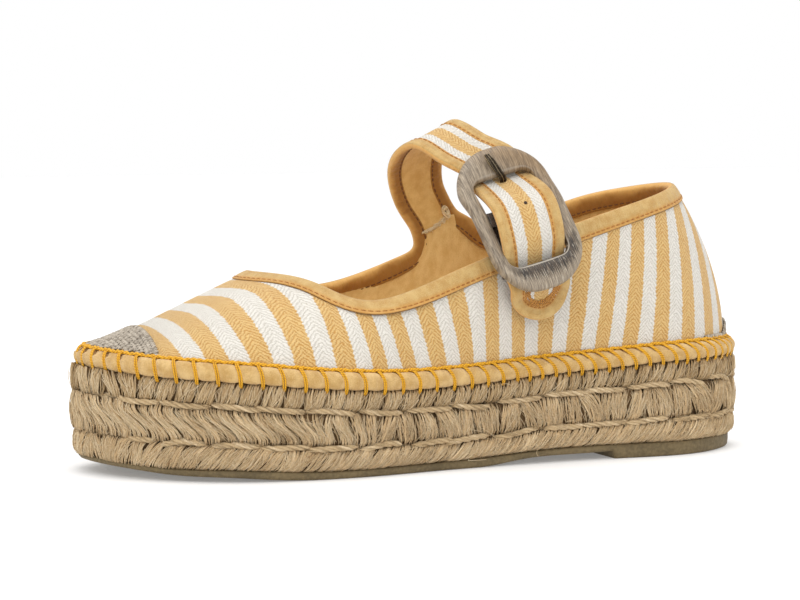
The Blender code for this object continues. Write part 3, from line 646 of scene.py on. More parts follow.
# The tape's inner leg starts at this distance round its section; painted shade colours: a darker lip along the outer
# leg's lower edge, and the inner leg's edge by the fold, from which the inner leg darkens further.
INNER_FROM = 7.2
LIP_SHADE = (200, 142, 62)
INNER_FOLD_SHADE = (214, 164, 90)
CANVAS = herringbone("herringbone_canvas", (211, 177, 116), (220, 215, 206))
# The inner-leg colour (164, 112, 42) is painted shade.
BINDING = plain_cloth("binding_cotton", (199, 167, 108), (180, 140, 78), 1.0, 0.16, 1.0, (164, 112, 42), 0.12)
BAND = plain_cloth("band_cotton", (220, 184, 122), (190, 148, 80), 0.45, 0.14, 0.80)
LINING = plain_cloth("lining_cotton", (232, 196, 128), (216, 172, 100), 1.0, 0.12, 0.50)
STRAP_LINING = plain_cloth("strap_lining_cotton", (230, 192, 120), (212, 166, 92), 1.0, 0.12, 0.40)
JUTE = fibre("jute_fibre", (120, 90, 54), (203, 173, 130), (234, 211, 172))
# Painted shade: the top row's fibre is darker for the shade under the band.
JUTE_UNDER_BAND_SHADE = fibre("jute_shaded_fibre", (98, 72, 41), (178, 149, 107), (214, 189, 149))
JUTE_FINE = fibre("jute_hair", (150, 124, 88), (206, 182, 144), (234, 216, 182), 0.05)
# Painted shade: the core behind the strands is coloured dark for the shade in the gaps between them.
JUTE_CORE = fibre("jute_shade", (84, 62, 36), (116, 90, 58), (146, 118, 80))
CORD = fibre("jute_twist", (120, 94, 60), (190, 164, 124), (222, 200, 164))
MUSTARD = thread("mustard_thread", (228, 172, 10), (178, 118, 2))
PALE_YARN = thread("pale_yarn", (252, 236, 200), (222, 190, 134), 0.7)
ORANGE = thread("orange_thread", (184, 122, 42), (124, 78, 22), 0.6)
BROWN = thread("brown_thread", (126, 78, 24), (74, 44, 12), 0.6)
TIP_THREAD = thread("tip_thread", (196, 138, 58), (120, 74, 24), 0.6)
# Painted shade: the loop round the strap's punched hole is near-black for the shade inside the hole.
HOLE_SHADE_LOOP = thread("hole_shade_thread", (58, 34, 16), (30, 16, 8), 0.6)


# ---- platform ----
def paired_places(count):
    """Places at equal distances along on both sides, heel, outer side, toe, inner side."""
    along = stations(FINE)[:, 0]
    toe = int(np.argmax(along))
    heel = int(np.argmin(along[:toe]))
    cuts = SOLE_LENGTH / 2 - SOLE_LENGTH / 2 * np.cos(np.linspace(0.0, math.pi, count + 2)[1:-1])
    cuts = np.sort(np.concatenate([cuts, [HEEL_BLOCK_END, HEEL_BLOCK_END + STEP_RUN]]))
    outer = np.interp(cuts, along[heel:toe + 1], FINE[heel:toe + 1])
    inner = np.interp(-cuts[::-1], -along[toe:], FINE[toe:])
    return np.concatenate([[FINE[heel]], outer, [FINE[toe]], inner])


PAIRED = paired_places(150)
PAIRED_ROWS = stations(PAIRED)
PAIRED_OUT = outward(PAIRED)


def stacked(name, rings, material, stands_for=()):
    """A closed block from rings of the sole (offset, height), lowest first, with strips across both ends."""
    count = len(PAIRED)
    points = np.concatenate([lifted(PAIRED_ROWS[:, :2] + PAIRED_OUT * np.reshape(offset, (-1, 1)), height)
                             for offset, height in rings])
    half = count // 2
    k = np.arange(1, half - 1)
    strips = np.stack([k, k + 1, count - k - 1, count - k], axis=1)
    tips = np.array([[0, 1, count - 1], [half - 1, half, half + 1]])
    last = (len(rings) - 1) * count
    polygons = [np.concatenate([grid_faces(len(rings), count)[0], strips[:, ::-1], strips + last]),
                np.concatenate([tips[:, ::-1], tips + last])]
    return add_piece(name, points, polygons, material, stands_for, uv=[points[p, :2] for p in polygons])


def toe_drop(along):
    return TOE_HANG * smooth(along, *TOE_HANG_RUN)


def toe_back(row, along):
    return TOE_BACK[row] * smooth(along, *TOE_BACK_RUN)


def sole_heights(along):
    """Top of the rubber, the two cord lines, the foot and the top edge of the band."""
    tread = level(2, along) - toe_drop(along)
    top = level(3, along)
    lid = top - BAND_HEIGHT
    span = lid - tread
    return tread, tread + span * LOWER_CORD_AT, tread + span * UPPER_CORD_AT, lid, top


def outsole():
    f = Finish("crepe_rubber", 0.7)
    place = f.object_place()
    speck = f.noise(place, 900.0, 3.0)
    cloud = f.noise(place, 60.0, 3.0)
    rubber = f.done(f.mix((speck * 0.5 + cloud * 0.5).spread(0.35, 0.65), (90, 76, 48), (118, 101, 68)),
                    speck * 0.18 + cloud * 0.4)
    along = PAIRED_ROWS[:, 0]
    under = level(1, along) - toe_drop(along)
    ramp = np.clip((along - ARCH_END) / (HEEL_BLOCK_END - ARCH_END), 0.0, 1.0)
    under = np.where(along > HEEL_BLOCK_END + STEP_RUN / 2, under + HEEL_BLOCK_STEP * ramp ** 1.5, under)
    tread = level(2, along) - toe_drop(along) + 0.15
    back = 0.7 + toe_back(0, along)
    stacked("rubber_sole", ((-2.3 - back, under), (-1.6 - back, under + 0.25), (-1.15 - back, under + 0.8),
                            (-0.95 - back, (under + tread) / 2), (-0.95 - back, tread - 0.4), (-1.4 - back, tread)),
            rubber, ["outsole"])


def clump_edges(rear, front):
    """Borders of the clumps of fibre round the sole, at one mean width behind the waist and one before it."""
    edges = [0.0]
    while edges[-1] < GIRTH:
        ahead = float(smooth(along_at(edges[-1]), 140.0, 175.0))
        edges.append(edges[-1] + (rear + (front - rear) * ahead) * DRAW.uniform(0.67, 1.33))
    return np.array(edges) * GIRTH / edges[-1]


def jute_rows():
    along = PAIRED_ROWS[:, 0]
    heights = sole_heights(along)
    for row, (name, *_) in enumerate(BRAID):
        back, floor, roof = toe_back(row, along), heights[row], heights[row + 1]
        rings = ((3.4, floor), (2.4, floor + 0.8), (2.0, (floor + roof) / 2), (2.4, roof - 0.8), (3.4, roof))
        stacked("jute_core_" + name, [(-inset - back, height) for inset, height in rings], JUTE_CORE)
    borders = STITCHES + 0.3
    all_edges = (clump_edges(6.0, 6.0), clump_edges(9.0, 5.2), np.append(borders, borders[0] + GIRTH))
    for row, edges in enumerate(all_edges):
        strands(row, edges)


def row_lean(row, along, clump_turn):
    """How far a strand leans along the sole for each millimetre of its height."""
    toe = smooth(along, *TIP_RUN)
    ahead = smooth(along, 150.0, 190.0)
    lean = (-0.80 + 0.10 * clump_turn, 0.62 * smooth(along, 160.0, 200.0) + (0.32 - 0.22 * ahead) * clump_turn,
            -0.40 + 0.12 * clump_turn)[row]
    return lean * (1 - toe) + (0.22 * clump_turn + (-0.3, 0.35, 0.25)[row]) * toe


def strands(row, edges):
    """Bundles of fibre laid side by side across one row of braid, gathered in clumps, and loose fibres on them."""
    name, notch, fibres, round_ends, pull, swell = BRAID[row]
    middle, top = row == 1, row == 2
    turns = DRAW.normal(0, 1, len(edges))
    centres = (edges[:-1] + edges[1:]) / 2
    proud = DRAW.normal(0, 0.22, len(edges))
    phases = DRAW.random(len(edges)) * TAU
    parts = []
    for fine in (False, True):
        count = fibres if fine else int(GIRTH / STRAND_PITCH)
        steps, sides, wild, size = (5, 3, 0.34, 0.11) if fine else (7, 4, 0.10, STRAND_RADIUS)
        each = (count, 1)
        arcs = (np.arange(count)[:, None] + DRAW.normal(0, 0.25, each)) * GIRTH / count
        q = np.linspace(-1.0, 1.0, steps)
        clump = np.clip(np.searchsorted(edges, arcs % GIRTH, side="right") - 1, 0, len(edges) - 2)
        wide = edges[clump + 1] - edges[clump]
        share = (arcs % GIRTH - edges[clump]) / wide
        side_gap = np.minimum(share, 1 - share) * wide
        turn = np.interp(arcs % GIRTH, centres, turns[:-1], period=GIRTH) * 0.4 + turns[clump] * 0.6
        along = along_at(arcs)
        floor, roof = sole_heights(along)[row:row + 2]
        mid, half = (floor + roof) / 2, (roof - floor) / 2
        if fine:
            reach = DRAW.uniform(0.25, 0.85, each)
            q = DRAW.uniform(-1, 1, each) * (1 - reach * 0.9) + reach * q
        forefoot = smooth(along, *FOREFOOT)
        rear = middle * (1 - forefoot)
        ends = 0.8 * smooth(along, 230.0, 250.0) + 0.6 * (1 - smooth(along, 3.0, 24.0))
        lean = (row_lean(row, along, turn) + DRAW.normal(0, wild, each)) * half * q
        bow = (0.62 if middle else 0.15) * np.sin(q * math.pi) * half * 0.34 * forefoot
        bow = bow + np.cos(turn * 2.5) * 0.7 * (1 - q ** 2) * rear + 0.3 * turn * (q ** 2 - 0.5)
        gather = pull * q ** 2 + 0.12 * rear * q ** 2 - (0.12 * q if top else 0.0)
        gather = -(share - 0.5) * wide * (0.04 + gather)
        out = -0.15 - toe_back(row, along) - round_ends * np.abs(q) ** 3.4 * (1 - ends)
        out = out + proud[clump] - (0.9 * np.clip(-q, 0, 1) ** 3 if row == 0 else 0.0)
        narrow = 0.62 + (0.20 * q if top else 0.0)
        out = out - notch * np.exp(-(side_gap / narrow) ** 2) * (1.0 if middle else 0.65 + 0.6 * q)
        out = out + swell * (0.6 - (2 * share - 1) ** 2)
        out = out + 0.45 * (share - 0.5) * forefoot * middle
        out = out + 0.13 * np.sin(arcs * TAU / 2.3 + phases[clump])
        out = out + DRAW.normal(0, 0.12, each) + 0.12 * np.sin(q * 3.5 + DRAW.random(each) * ANY_TURN)
        if fine:
            out = out + 0.34 + np.abs(DRAW.normal(0, 0.20, each)) * (1 - q ** 2)
        paths = rim(arcs + lean + bow + gather, out, mid + half * q * 0.99)
        thick = size * (1 - 0.35 * np.abs(q) ** 2.5) * DRAW.uniform(0.75, 1.2, each)
        parts.append(tube_mesh(paths, rim_normals(arcs), thick, sides))
    tubes("jute_strands_" + name, parts[:1], JUTE_UNDER_BAND_SHADE if top else JUTE, ["jute_row_" + name])
    tubes("jute_fibres_" + name, parts[1:], JUTE_FINE)


def cord_stitches(name, row):
    """Long running stitches of loosely twisted cord between two rows."""
    count = int(GIRTH / CORD_STITCH)
    each = (count, 1)
    q = np.linspace(-1.0, 1.0, 23)
    starts = (np.arange(count)[:, None] + DRAW.normal(0, 0.08, each)) * GIRTH / count
    arcs = starts + (q + 1) / 2 * (GIRTH / count * DRAW.uniform(0.95, 1.12, each))
    along = along_at(arcs)
    tilt = DRAW.uniform(*((-0.9, -0.1) if row == 1 else (0.1, 0.9)), each)
    wave = DRAW.normal(0, 0.35, each) * np.sin(q * 2.2 + DRAW.random(each) * ANY_TURN)
    ends = np.abs(q) ** 5
    sink_from = (0.0, 241.0, 245.0)[row]
    centre_out = -0.45 - 2.3 * ends + DRAW.normal(0, 0.2, each)
    centre_out = centre_out - toe_back(row, along) - 2.2 * smooth(along, sink_from, sink_from + 8.0)
    centre_up = sole_heights(along)[row] + q * tilt + wave
    size = 0.98 - 0.42 * ends
    parts = []

    def wind(turn, reach, radius, sides):
        paths = rim(arcs, centre_out + reach * np.cos(turn), centre_up + reach * np.sin(turn))
        parts.append(tube_mesh(paths, rim_normals(arcs), radius, sides))

    for ply in range(3):
        wind(arcs * TAU / CORD_TWIST + ply * TAU / 3, 0.56 * size, 0.60 * size, 6)
    for _ in range(5):
        phase = DRAW.random(each) * ANY_TURN
        wind(arcs * TAU / CORD_TWIST + phase, 1.12 * size + 0.22 * np.sin(q * 7 + phase), 0.10, 3)
    tubes("jute_cord_stitches_" + name, parts, CORD, ["jute_cord_" + name])


def stray_hairs():
    """Loose ends of fibre that stand off the braid."""
    each = (90, 1)
    arcs = DRAW.random(each) * GIRTH
    q = np.linspace(0.0, 1.0, 9)
    tread, _, _, lid, _ = sole_heights(along_at(arcs))
    start = tread + (lid - tread) * DRAW.random(each)
    length = DRAW.uniform(4.0, 11.0, each)
    bend = DRAW.uniform(-1.0, 1.0, each) * 1.4 + DRAW.normal(0, 0.9, each) * q
    rise = np.clip(start + length * q * np.cos(bend) * DRAW.choice([-0.6, 0.6], each), 3.2, 40.0)
    out = q ** 1.5 * DRAW.uniform(0.3, 1.6, each) - 1.2 * smooth(along_at(arcs), *TOE_BACK_RUN)
    paths = rim(arcs + length * q * np.sin(bend), out, rise)
    tubes("jute_stray_hairs", [tube_mesh(paths, rim_normals(arcs), 0.095, 3)], JUTE_FINE)


# ---- band ----
def band_profile(arcs):
    """Height of the canvas band's foot and how far it tucks in."""
    along = along_at(arcs)
    tuck = TOE_TUCK * np.clip((along - TOE_TUCK_FROM) / (SOLE_LENGTH - TOE_TUCK_FROM), 0.0, 1.0)
    return level(3, along) - BAND_HEIGHT, tuck


def stitch_arcs():
    """Distances of the blanket stitches round the sole, closer behind the waist."""
    arcs = [0.0]
    while arcs[-1] < GIRTH - 3.0:
        arcs.append(arcs[-1] + 5.4 + 2.1 * float(smooth(along_at(arcs[-1]), 96.0, 122.0)) + DRAW.normal(0, 0.22))
    return np.array(arcs[:-1]) * GIRTH / arcs[-1]


STITCHES = stitch_arcs()
STITCH_LEAN = 4.6 - 3.3 * smooth(along_at(STITCHES), 70.0, 150.0)


def stitch_shift(up, lean):
    """How far a stitch has run along the band at a height over its foot."""
    rise = up / BAND_ROUND
    return lean * (0.25 * rise + 0.75 * np.clip(rise, 0.0, 2.0) ** 2.2)


def stitch_gap(arcs):
    """Distance along the band to the nearest stitch."""
    return np.abs((arcs[..., None] - STITCHES + GIRTH / 2) % GIRTH - GIRTH / 2).min(axis=-1)


def foxing_band():
    count = 1700
    closed_arcs = np.arange(count + 1) * GIRTH / count
    arcs = closed_arcs[:-1]
    foot, tuck = band_profile(arcs)
    lean = np.interp(arcs, STITCHES, STITCH_LEAN)
    cell = np.interp(arcs, STITCHES, 0.5 + 0.5 * DRAW.random(len(STITCHES)), period=GIRTH)
    toe_in = 1.3 * smooth(along_at(arcs), *BAND_TOE)
    grid = []
    field = []
    for out, up, soft in BAND_SECTION:
        gap = stitch_gap(arcs - stitch_shift(up, lean))
        pinch = np.exp(-(gap / 0.8) ** 2)
        puff = 0.42 * cell * (1 - np.exp(-(gap / 2.0) ** 2))
        drop = 0.55 * np.exp(-(gap / 1.3) ** 2) * (up > 4.5)
        scallop = 0.5 * cell * (1 - np.exp(-(gap / 1.8) ** 2)) * (up < 1.0)
        grid.append(rim(arcs, out - tuck + soft * (puff - 0.70 * pinch) - toe_in * (up > 4.5),
                        foot + up - drop * soft - scallop))
        # The first and the last ring lie hidden under the upper; their cloth is gathered in.
        field.append(paired(closed_arcs, up + (out if out == BAND_SECTION[0][0] else 0.0)))
    field.append(paired(closed_arcs, 9.0))
    skin("canvas_band", np.stack(grid), np.stack(field), BAND, ["foxing_band"])


def blanket_stitches():
    """Two threads side by side over the band at each stitch, and the chain that joins them on top."""
    out, up = resample(np.array(BAND_PATH), 14).T
    at, lean = STITCHES[:, None], STITCH_LEAN[:, None]
    foot, tuck = band_profile(at)
    q = np.linspace(0.0, 1.0, 14)
    parts = []
    for side in (-1, 1):
        part = side * (0.28 + 0.13 * np.sin(q * math.pi) * DRAW.uniform(0.4, 1.3, at.shape))
        arcs = at + part + stitch_shift(np.clip(up / BAND_ROUND, -0.1, 1.15) * BAND_ROUND, lean)
        parts.append(tube_mesh(rim(arcs, out - tuck, foot + up), rim_normals(at), BLANKET_RADIUS, 6))
    count = 1100
    arcs = np.arange(count + 1)[None] * GIRTH / count
    foot, tuck = band_profile(arcs)
    sag = 0.28 * np.exp(-(stitch_gap(arcs - 5.2) / 1.4) ** 2)
    back = -2.85 - tuck + 0.15 * smooth(along_at(arcs), *BAND_TOE)
    for half_turn in (0.0, math.pi):
        turn = arcs * TAU / CHAIN_TWIST + half_turn
        paths = rim(arcs, back + 0.34 * np.cos(turn), foot + 6.50 - sag + 0.30 * np.sin(turn))
        parts.append(tube_mesh(paths, rim_normals(arcs), CHAIN_RADIUS, 6))
    tubes("blanket_stitches", parts, MUSTARD)


# ---- upper ----
def stripe_field(points):
    """Cloth coordinates of the upper: stripe count and distance along the stripe, on rows of one share."""
    table = np.array(STRIPES)
    bow = np.array(BOW)
    along = SOLE_LENGTH / 2 - points[..., 0]
    across = points[..., 1] - CENTRE_ACROSS
    height = points[..., 2] - level(3, along)
    base = along - np.interp(along, table[:, 0], table[:, 1]) * height
    start = np.interp(along, bow[:, 0], bow[:, 2])
    inward = 4.0 - np.abs(across - 4.0)
    base = base - np.interp(along, bow[:, 0], bow[:, 1]) * smooth((inward - start) / (4.0 - start), 0.0, 1.0)
    base = base + 5.6 * smooth(across, 12.0, 30.0) * (1 - smooth(along, 125.0, 165.0))
    count = np.interp(base, table[:, 0], np.arange(len(table)) - 1.0)
    row_run = run_lengths(points)
    half = points.shape[1] // 2
    for r in range(len(points)):
        period = 13.3 - 2.4 * r / (len(points) - 1)
        for part, sign in ((slice(0, half), 1), (slice(half, None), -1)):
            c, run = count[r, part], row_run[r, part]
            mark = np.interp(sign * 2.0, sign * c, run)
            c[:] = np.where(c > 2.0, c, 2.0 - np.abs(run - mark) / period)
    angle = np.arctan2(points[..., 2] - 20.0, -across) * 47.0 + 19.3
    quarter = np.where(across < 0, points[..., 2], 186.5 - points[..., 2])
    return paired(count, quarter + (angle - quarter) * smooth(along, 112.0, 180.0))


def raised_row(places, share, offset):
    """A row of the wall, its upper half drawn higher just behind the strap, on the inner side."""
    rows = stations(places)
    along, across = rows[:, 2], rows[:, 3]
    rise = REAR_RISE * smooth(along, 84.0, 99.0) * (1 - smooth(along, 106.0, 119.0)) * (across > 0)
    lift = rise * smooth(share, 0.45, 1.0)
    return wall_row(places, share, offset) + np.array([0.0, 0.0, 1.0]) * lift[:, None]


def upper_skins():
    count = 600
    places = np.arange(count + 1) / count
    outer = np.stack([raised_row(places, s, 0.0) for s in np.linspace(0.0, 1.0, 60)])
    hidden = np.stack([raised_row(places, s, -0.85) for s in (1.0, 0.66, 0.33, 0.0)])
    field = stripe_field(outer)
    skin("upper_canvas", np.concatenate([outer, hidden])[:, :-1],
         np.concatenate([field, field[[-1, 39, 19, 0, 0]]]), CANVAS, ["upper"])
    count = 400
    places = np.arange(count + 1) / count
    inner = [raised_row(places, s, -WALL + 0.6 * smooth(s, 0.42, 0.72)) for s in np.linspace(1.0, 0.0, 34)]
    back = [raised_row(places, s, -0.9) for s in (0.0, 0.33, 0.66, 1.0)]
    drop = np.array([0.0, 0.0, 3.0])
    grid = np.stack([*inner, wall_row(places, 0.0, -WALL) - drop, back[0] - drop, *back])[:, :-1]
    skin("upper_lining", grid, paired(places * GIRTH, np.arange(len(grid) + 1)[:, None] * 1.3), LINING)


def footbed():
    foot = level(3, PAIRED_ROWS[:, 0]) - BAND_HEIGHT
    rings = ((-5.6, foot + 0.3), (-5.45, foot + 3.2), (-5.9, foot + 4.0), (-7.0, foot + 4.3), (-10.0, foot + 4.35))
    thing = stacked("footbed", rings, LINING, ["insole"])


# ---- buckle frame of reference ----
TOP = to_world(BUCKLE_TOP)
LOW = to_world(BUCKLE_LOW)
MIDDLE = (TOP + LOW) / 2
UP = unit(TOP - LOW)
SIDE = np.array(BUCKLE_ACROSS)
SIDE = unit(SIDE - UP * SIDE.dot(UP))
FACE = np.cross(UP, SIDE)
FACE = FACE * np.sign(-FACE[1])


def in_buckle(side, up, out):
    side, up, out = np.broadcast_arrays(side, up, out)
    return MIDDLE + SIDE * side[..., None] + UP * up[..., None] + FACE * out[..., None]


# ---- strap ----
def strap_line(count):
    """Middle line, its run, direction across (heelward), outward direction and half width, evenly spaced."""
    rows = [[*to_world(row[:3]), *row[3:]] for row in STRAP_PATH]
    for up, out, side in STRAP_IN_BUCKLE:
        rows.append([*in_buckle(side, up, out), *SIDE, STRAP_WIDTH + (1.2 if out > 2.0 else 0.0)])
    rows += [[*to_world(row), *SIDE, STRAP_WIDTH] for row in STRAP_TIP]
    line = resample(open_curve(rows, 400), count)
    run = unit(np.gradient(line[:, :3], axis=0))
    across = square_to(run, line[:, 3:6])
    out = np.cross(run, across)
    out *= np.sign((out * (line[:, :3] - to_world((110.0, 0.0, 80.0)))).sum(axis=1))[:, None]
    return line[:, :3], run, across, out, line[:, 6] / 2


LINE, LINE_RUN, LINE_ACROSS, LINE_OUT, LINE_HALF = strap_line(300)
LINE_AT = run_lengths(LINE)
STRAP_LONG = LINE_AT[-1]
TIP_FROM = STRAP_LONG - STRAP_WIDTH / 2


def strap_point(at, side):
    """Point and outward direction at distances along and across the strap."""
    at, side = np.broadcast_arrays(at, side)
    centre, across, out = (sample(at, LINE_AT, table) for table in (LINE, LINE_ACROSS, LINE_OUT))
    return centre + unit(across) * side[..., None] + LINE_RUN[0] * np.minimum(at, 0.0)[..., None], unit(out)


def strap_half(at):
    """Half width of the strap, round at the tip."""
    left = np.clip(STRAP_LONG - at, 0.0, None)
    tip = STRAP_WIDTH / 2
    round_end = np.sqrt(np.clip(tip ** 2 - (tip - left) ** 2, 0.0, None)) / tip
    return np.interp(at, LINE_AT, LINE_HALF) * np.where(left < tip, round_end, 1.0)


def ribbon(name, start, slope, low, high, material, slot, stands_for=()):
    """A cloth strip of the strap between two offsets of its middle surface. slope slants its lower end."""
    body = STRAP_LONG - 12.0 - start
    steps = np.concatenate([np.linspace(0.0, body, 230), body + np.linspace(0.4, 10.5, 26)])[:, None] + start
    sides = np.linspace(-1.0, 1.0, 17)
    half = np.clip(strap_half(steps) - RIBBON_INSET, 1.0, None)
    at = steps + slope * sides * (1 - smooth(steps, start, start + 30.0))
    points, out = strap_point(at, half * sides)
    crown = (1 - sides ** 2)[:, None]
    upper = points + out * (high + np.sign(high) * 0.12 * crown)
    grid = np.concatenate([upper, (points + out * low)[:, ::-1]], axis=1)
    u = 0.5 + half * sides / STRAP_PERIOD
    field = paired(u * STRAP_PERIOD if slot == "lining" else u, at)
    field = np.concatenate([field, field[:, ::-1], field[:, :1]], axis=1)
    skin(name, grid, field, material, stands_for, capped=True)


def strap_thread(at, side, lift, radius, sides):
    """A tube mesh along the strap, lifted off its middle surface."""
    points, out = strap_point(at, side)
    return tube_mesh(points + out * np.asarray(lift)[..., None], out, radius, sides)


def strap_join():
    """Frayed lower end of the strap's lining inside, with a small knot of yarn at its heel end."""
    each = (240, 1)
    share = DRAW.uniform(-1, 1, each)
    q = np.linspace(0.0, 1.0, 5)
    side = share * 5.6 + DRAW.normal(0, 0.25, each) + q * DRAW.normal(0, 0.9, each)
    at = 7.4 + 3.2 * share * 0.55 + DRAW.normal(0, 0.2, each) - q * DRAW.uniform(-0.3, 1.2, each)
    lift = 1.2 + 0.5 * np.sin(q * 3) * DRAW.random(each)
    tubes("lining_fray", [strap_thread(at, side, -lift, 0.14, 4)], PALE_YARN)
    each = (36, 1)
    q = np.linspace(0.0, 1.0, 7)
    turn = DRAW.random(each) * ANY_TURN + q * DRAW.uniform(1.5, 3.5, each)
    radius = DRAW.uniform(0.3, 1.5, each)
    lift = 1.2 + DRAW.random(each) * 1.3 + 0.3 * np.cos(turn * 2)
    at, side = 10.6 + radius * np.cos(turn) * 1.5, 5.6 + radius * np.sin(turn) * 0.85
    tubes("lining_knot", [strap_thread(at, side, -lift, 0.24, 5)], PALE_YARN)


def strap_marks():
    """A loop of thread at the punched hole in the strap's middle stripe, near-black as painted shade for the hole, and
    the heavy rows of stitches round its tip.
    """
    at = LINE_AT[np.argmin(np.linalg.norm(LINE - in_buckle(0.5, 2.1, 6.5), axis=1))]
    turn = np.linspace(0.0, TAU, 13)[None]
    parts = [strap_thread(at + 0.30 * np.cos(turn), 0.5 + 0.30 * np.sin(turn), 1.10, 0.34, 8)]
    q = np.linspace(-0.5, 0.5, 6)
    for radius, number in TIP_ROWS:
        each = (number, 1)
        angles = np.linspace(-0.1, math.pi + 0.1, number)[:, None] + q * 0.24 + DRAW.normal(0, 0.03, each)
        wide = radius + DRAW.normal(0, 0.12, each) + 0.3 * q
        parts.append(strap_thread(TIP_FROM + wide * np.sin(angles), -wide * np.cos(angles),
                                  1.12 - 0.3 * np.abs(q * 2) ** 3, 0.36, 6))
    tubes("strap_hole", parts[:1], HOLE_SHADE_LOOP)
    tubes("strap_marks", parts[1:], TIP_THREAD)


# ---- binding ----
def inner_place(along_wanted):
    """Place on the inner side whose top line has this distance along."""
    places = np.linspace(0.55, 0.97, 800)
    return np.interp(-along_wanted, -stations(places)[:, 2], places)


def bridge(first, second):
    """Rows (point, direction) that carry one line smoothly into the next."""
    a, d = first[-1, :3], second[0, :3]
    reach = np.linalg.norm(d - a)
    b = a + unit(first[-1, :3] - first[-4, :3]) * reach * 0.62
    c = d - unit(second[3, :3] - second[0, :3]) * reach * 0.62
    t = np.linspace(0.0, 1.0, 40)[1:-1, None]
    line = a * (1 - t) ** 3 + 3 * b * t * (1 - t) ** 2 + 3 * c * t ** 2 * (1 - t) + d * t ** 3
    return np.hstack([line, unit(first[-1, 3:] * (1 - t) + second[0, 3:] * t)])


def edge_loop(count):
    """Closed line of the bound edge: points, directions out and along the cloth, and 1 on the strap, 0 elsewhere."""
    places = np.linspace(inner_place(REAR_TURN), 1.0 + inner_place(FRONT_TURN), 900)
    collar = np.hstack([raised_row(places, 1.0, -WALL / 2), wall_normals(places, 1.0)])
    at = np.linspace(8.5, TIP_FROM, 260)
    front = np.hstack(strap_point(at, STRAP_INSET - strap_half(at)))
    angles = np.linspace(0.0, math.pi, 60)[1:-1]
    radius = STRAP_WIDTH / 2 - STRAP_INSET
    tip = np.hstack(strap_point(TIP_FROM + radius * np.sin(angles), -radius * np.cos(angles)))
    at = np.linspace(TIP_FROM, 14.5, 260)
    back = np.hstack(strap_point(at, strap_half(at) - STRAP_INSET))
    parts = (collar, bridge(collar, front), front, tip, back, bridge(back, collar))
    on_strap = ((0, 0), (0, 1), (1, 1), (1, 1), (1, 1), (1, 0))
    kinds = np.concatenate([np.linspace(*ends, len(part)) for part, ends in zip(parts, on_strap)])
    rows = np.column_stack([np.concatenate(parts), kinds])
    rows = resample(closed(rows), count + 1)[:-1]
    for _ in range(3):
        rows = (np.roll(rows, 1, axis=0) + rows * 2 + np.roll(rows, -1, axis=0)) / 4
    points = rows[:, :3]
    run = unit(np.roll(points, -1, axis=0) - np.roll(points, 1, axis=0))
    out = square_to(run, rows[:, 3:6])
    return points, out, np.cross(run, out), rows[:, 6:]


LOOP, LOOP_OUT, LOOP_AWAY, LOOP_KIND = edge_loop(1300)
LOOP_AT = run_lengths(closed(LOOP))
LOOP_LONG = LOOP_AT[-1]


def binding():
    half = TAPE_HALF
    rise = 1.0 - FLATTER * LOOP_KIND
    pucker = 0.06 * np.cos(LOOP_AT[:-1, None] * TAU / STITCH_STEP)
    section = [(a, half + b, 1.0) for a, b in OUTER_LEG] + [(1.0, 0.0, 0.0)]
    section += [(a, -half - b, 1.0) for a, b in reversed(OUTER_LEG)]
    section += [(-6.0, -half + 0.1, 0.0), (-0.2, -half + 0.1, 0.0), (-0.2, half - 0.1, 0.0), (-6.0, half - 0.1, 0.0)]
    grid = []
    for reach, n, soft in section:
        a = reach * (1 - NARROWER * LOOP_KIND * (reach < -1.0))
        lift = (abs(n) - half) * (rise if soft else 1.0)
        deep = np.exp(-((reach + STITCH_DEEP) / 1.2) ** 2) * pucker * soft
        grid.append(LOOP + LOOP_AWAY * a + LOOP_OUT * ((half + lift + deep) * np.sign(n)))
    v = run_lengths(np.array(section)[:, :2])
    field = paired(LOOP_AT, np.append(v, v[-1] + 1.0)[:, None])
    skin("edge_binding", np.stack(grid), field, BINDING, ["collar_binding"])


def binding_stitches():
    count = int(LOOP_LONG / STITCH_STEP)
    q = np.linspace(-0.5, 0.5, 7)
    at = ((np.arange(count) + 0.5) * LOOP_LONG / count)[:, None] + q * 1.9
    points, out, away, kind = (sample(at, LOOP_AT, closed(rows)) for rows in (LOOP, LOOP_OUT, LOOP_AWAY, LOOP_KIND))
    bend = np.abs(q * 2)
    lift = TAPE_HALF + 0.40 * (1 - FLATTER * kind) + 0.10 - 1.1 * bend[:, None] ** 4 * 0.4
    deep = STITCH_DEEP * (1 - NARROWER * kind)
    for name, side, material in (("binding_stitches", 1, ORANGE), ("binding_stitches_inside", -1, BROWN)):
        paths = points - away * deep + out * (lift * side)
        tubes(name, [tube_mesh(paths, out, 0.27 * (1 - 0.5 * bend ** 3), 6)], material)


# ---- buckle ----
def even_loop(wide, long, corner, count):
    """Even points (side, up) round a rectangle with round corners, from the middle of its heel side."""
    loop = [(wide / 2, 0.0)]
    for quarter, (right, high) in enumerate(((1, 1), (-1, 1), (-1, -1), (1, -1))):
        for k in range(24):
            angle = math.pi / 2 * (quarter + k / 23)
            loop.append((right * (wide / 2 - corner) + corner * math.cos(angle),
                         high * (long / 2 - corner) + corner * math.sin(angle)))
    return resample(closed(np.array(loop)), count + 1)[:-1]


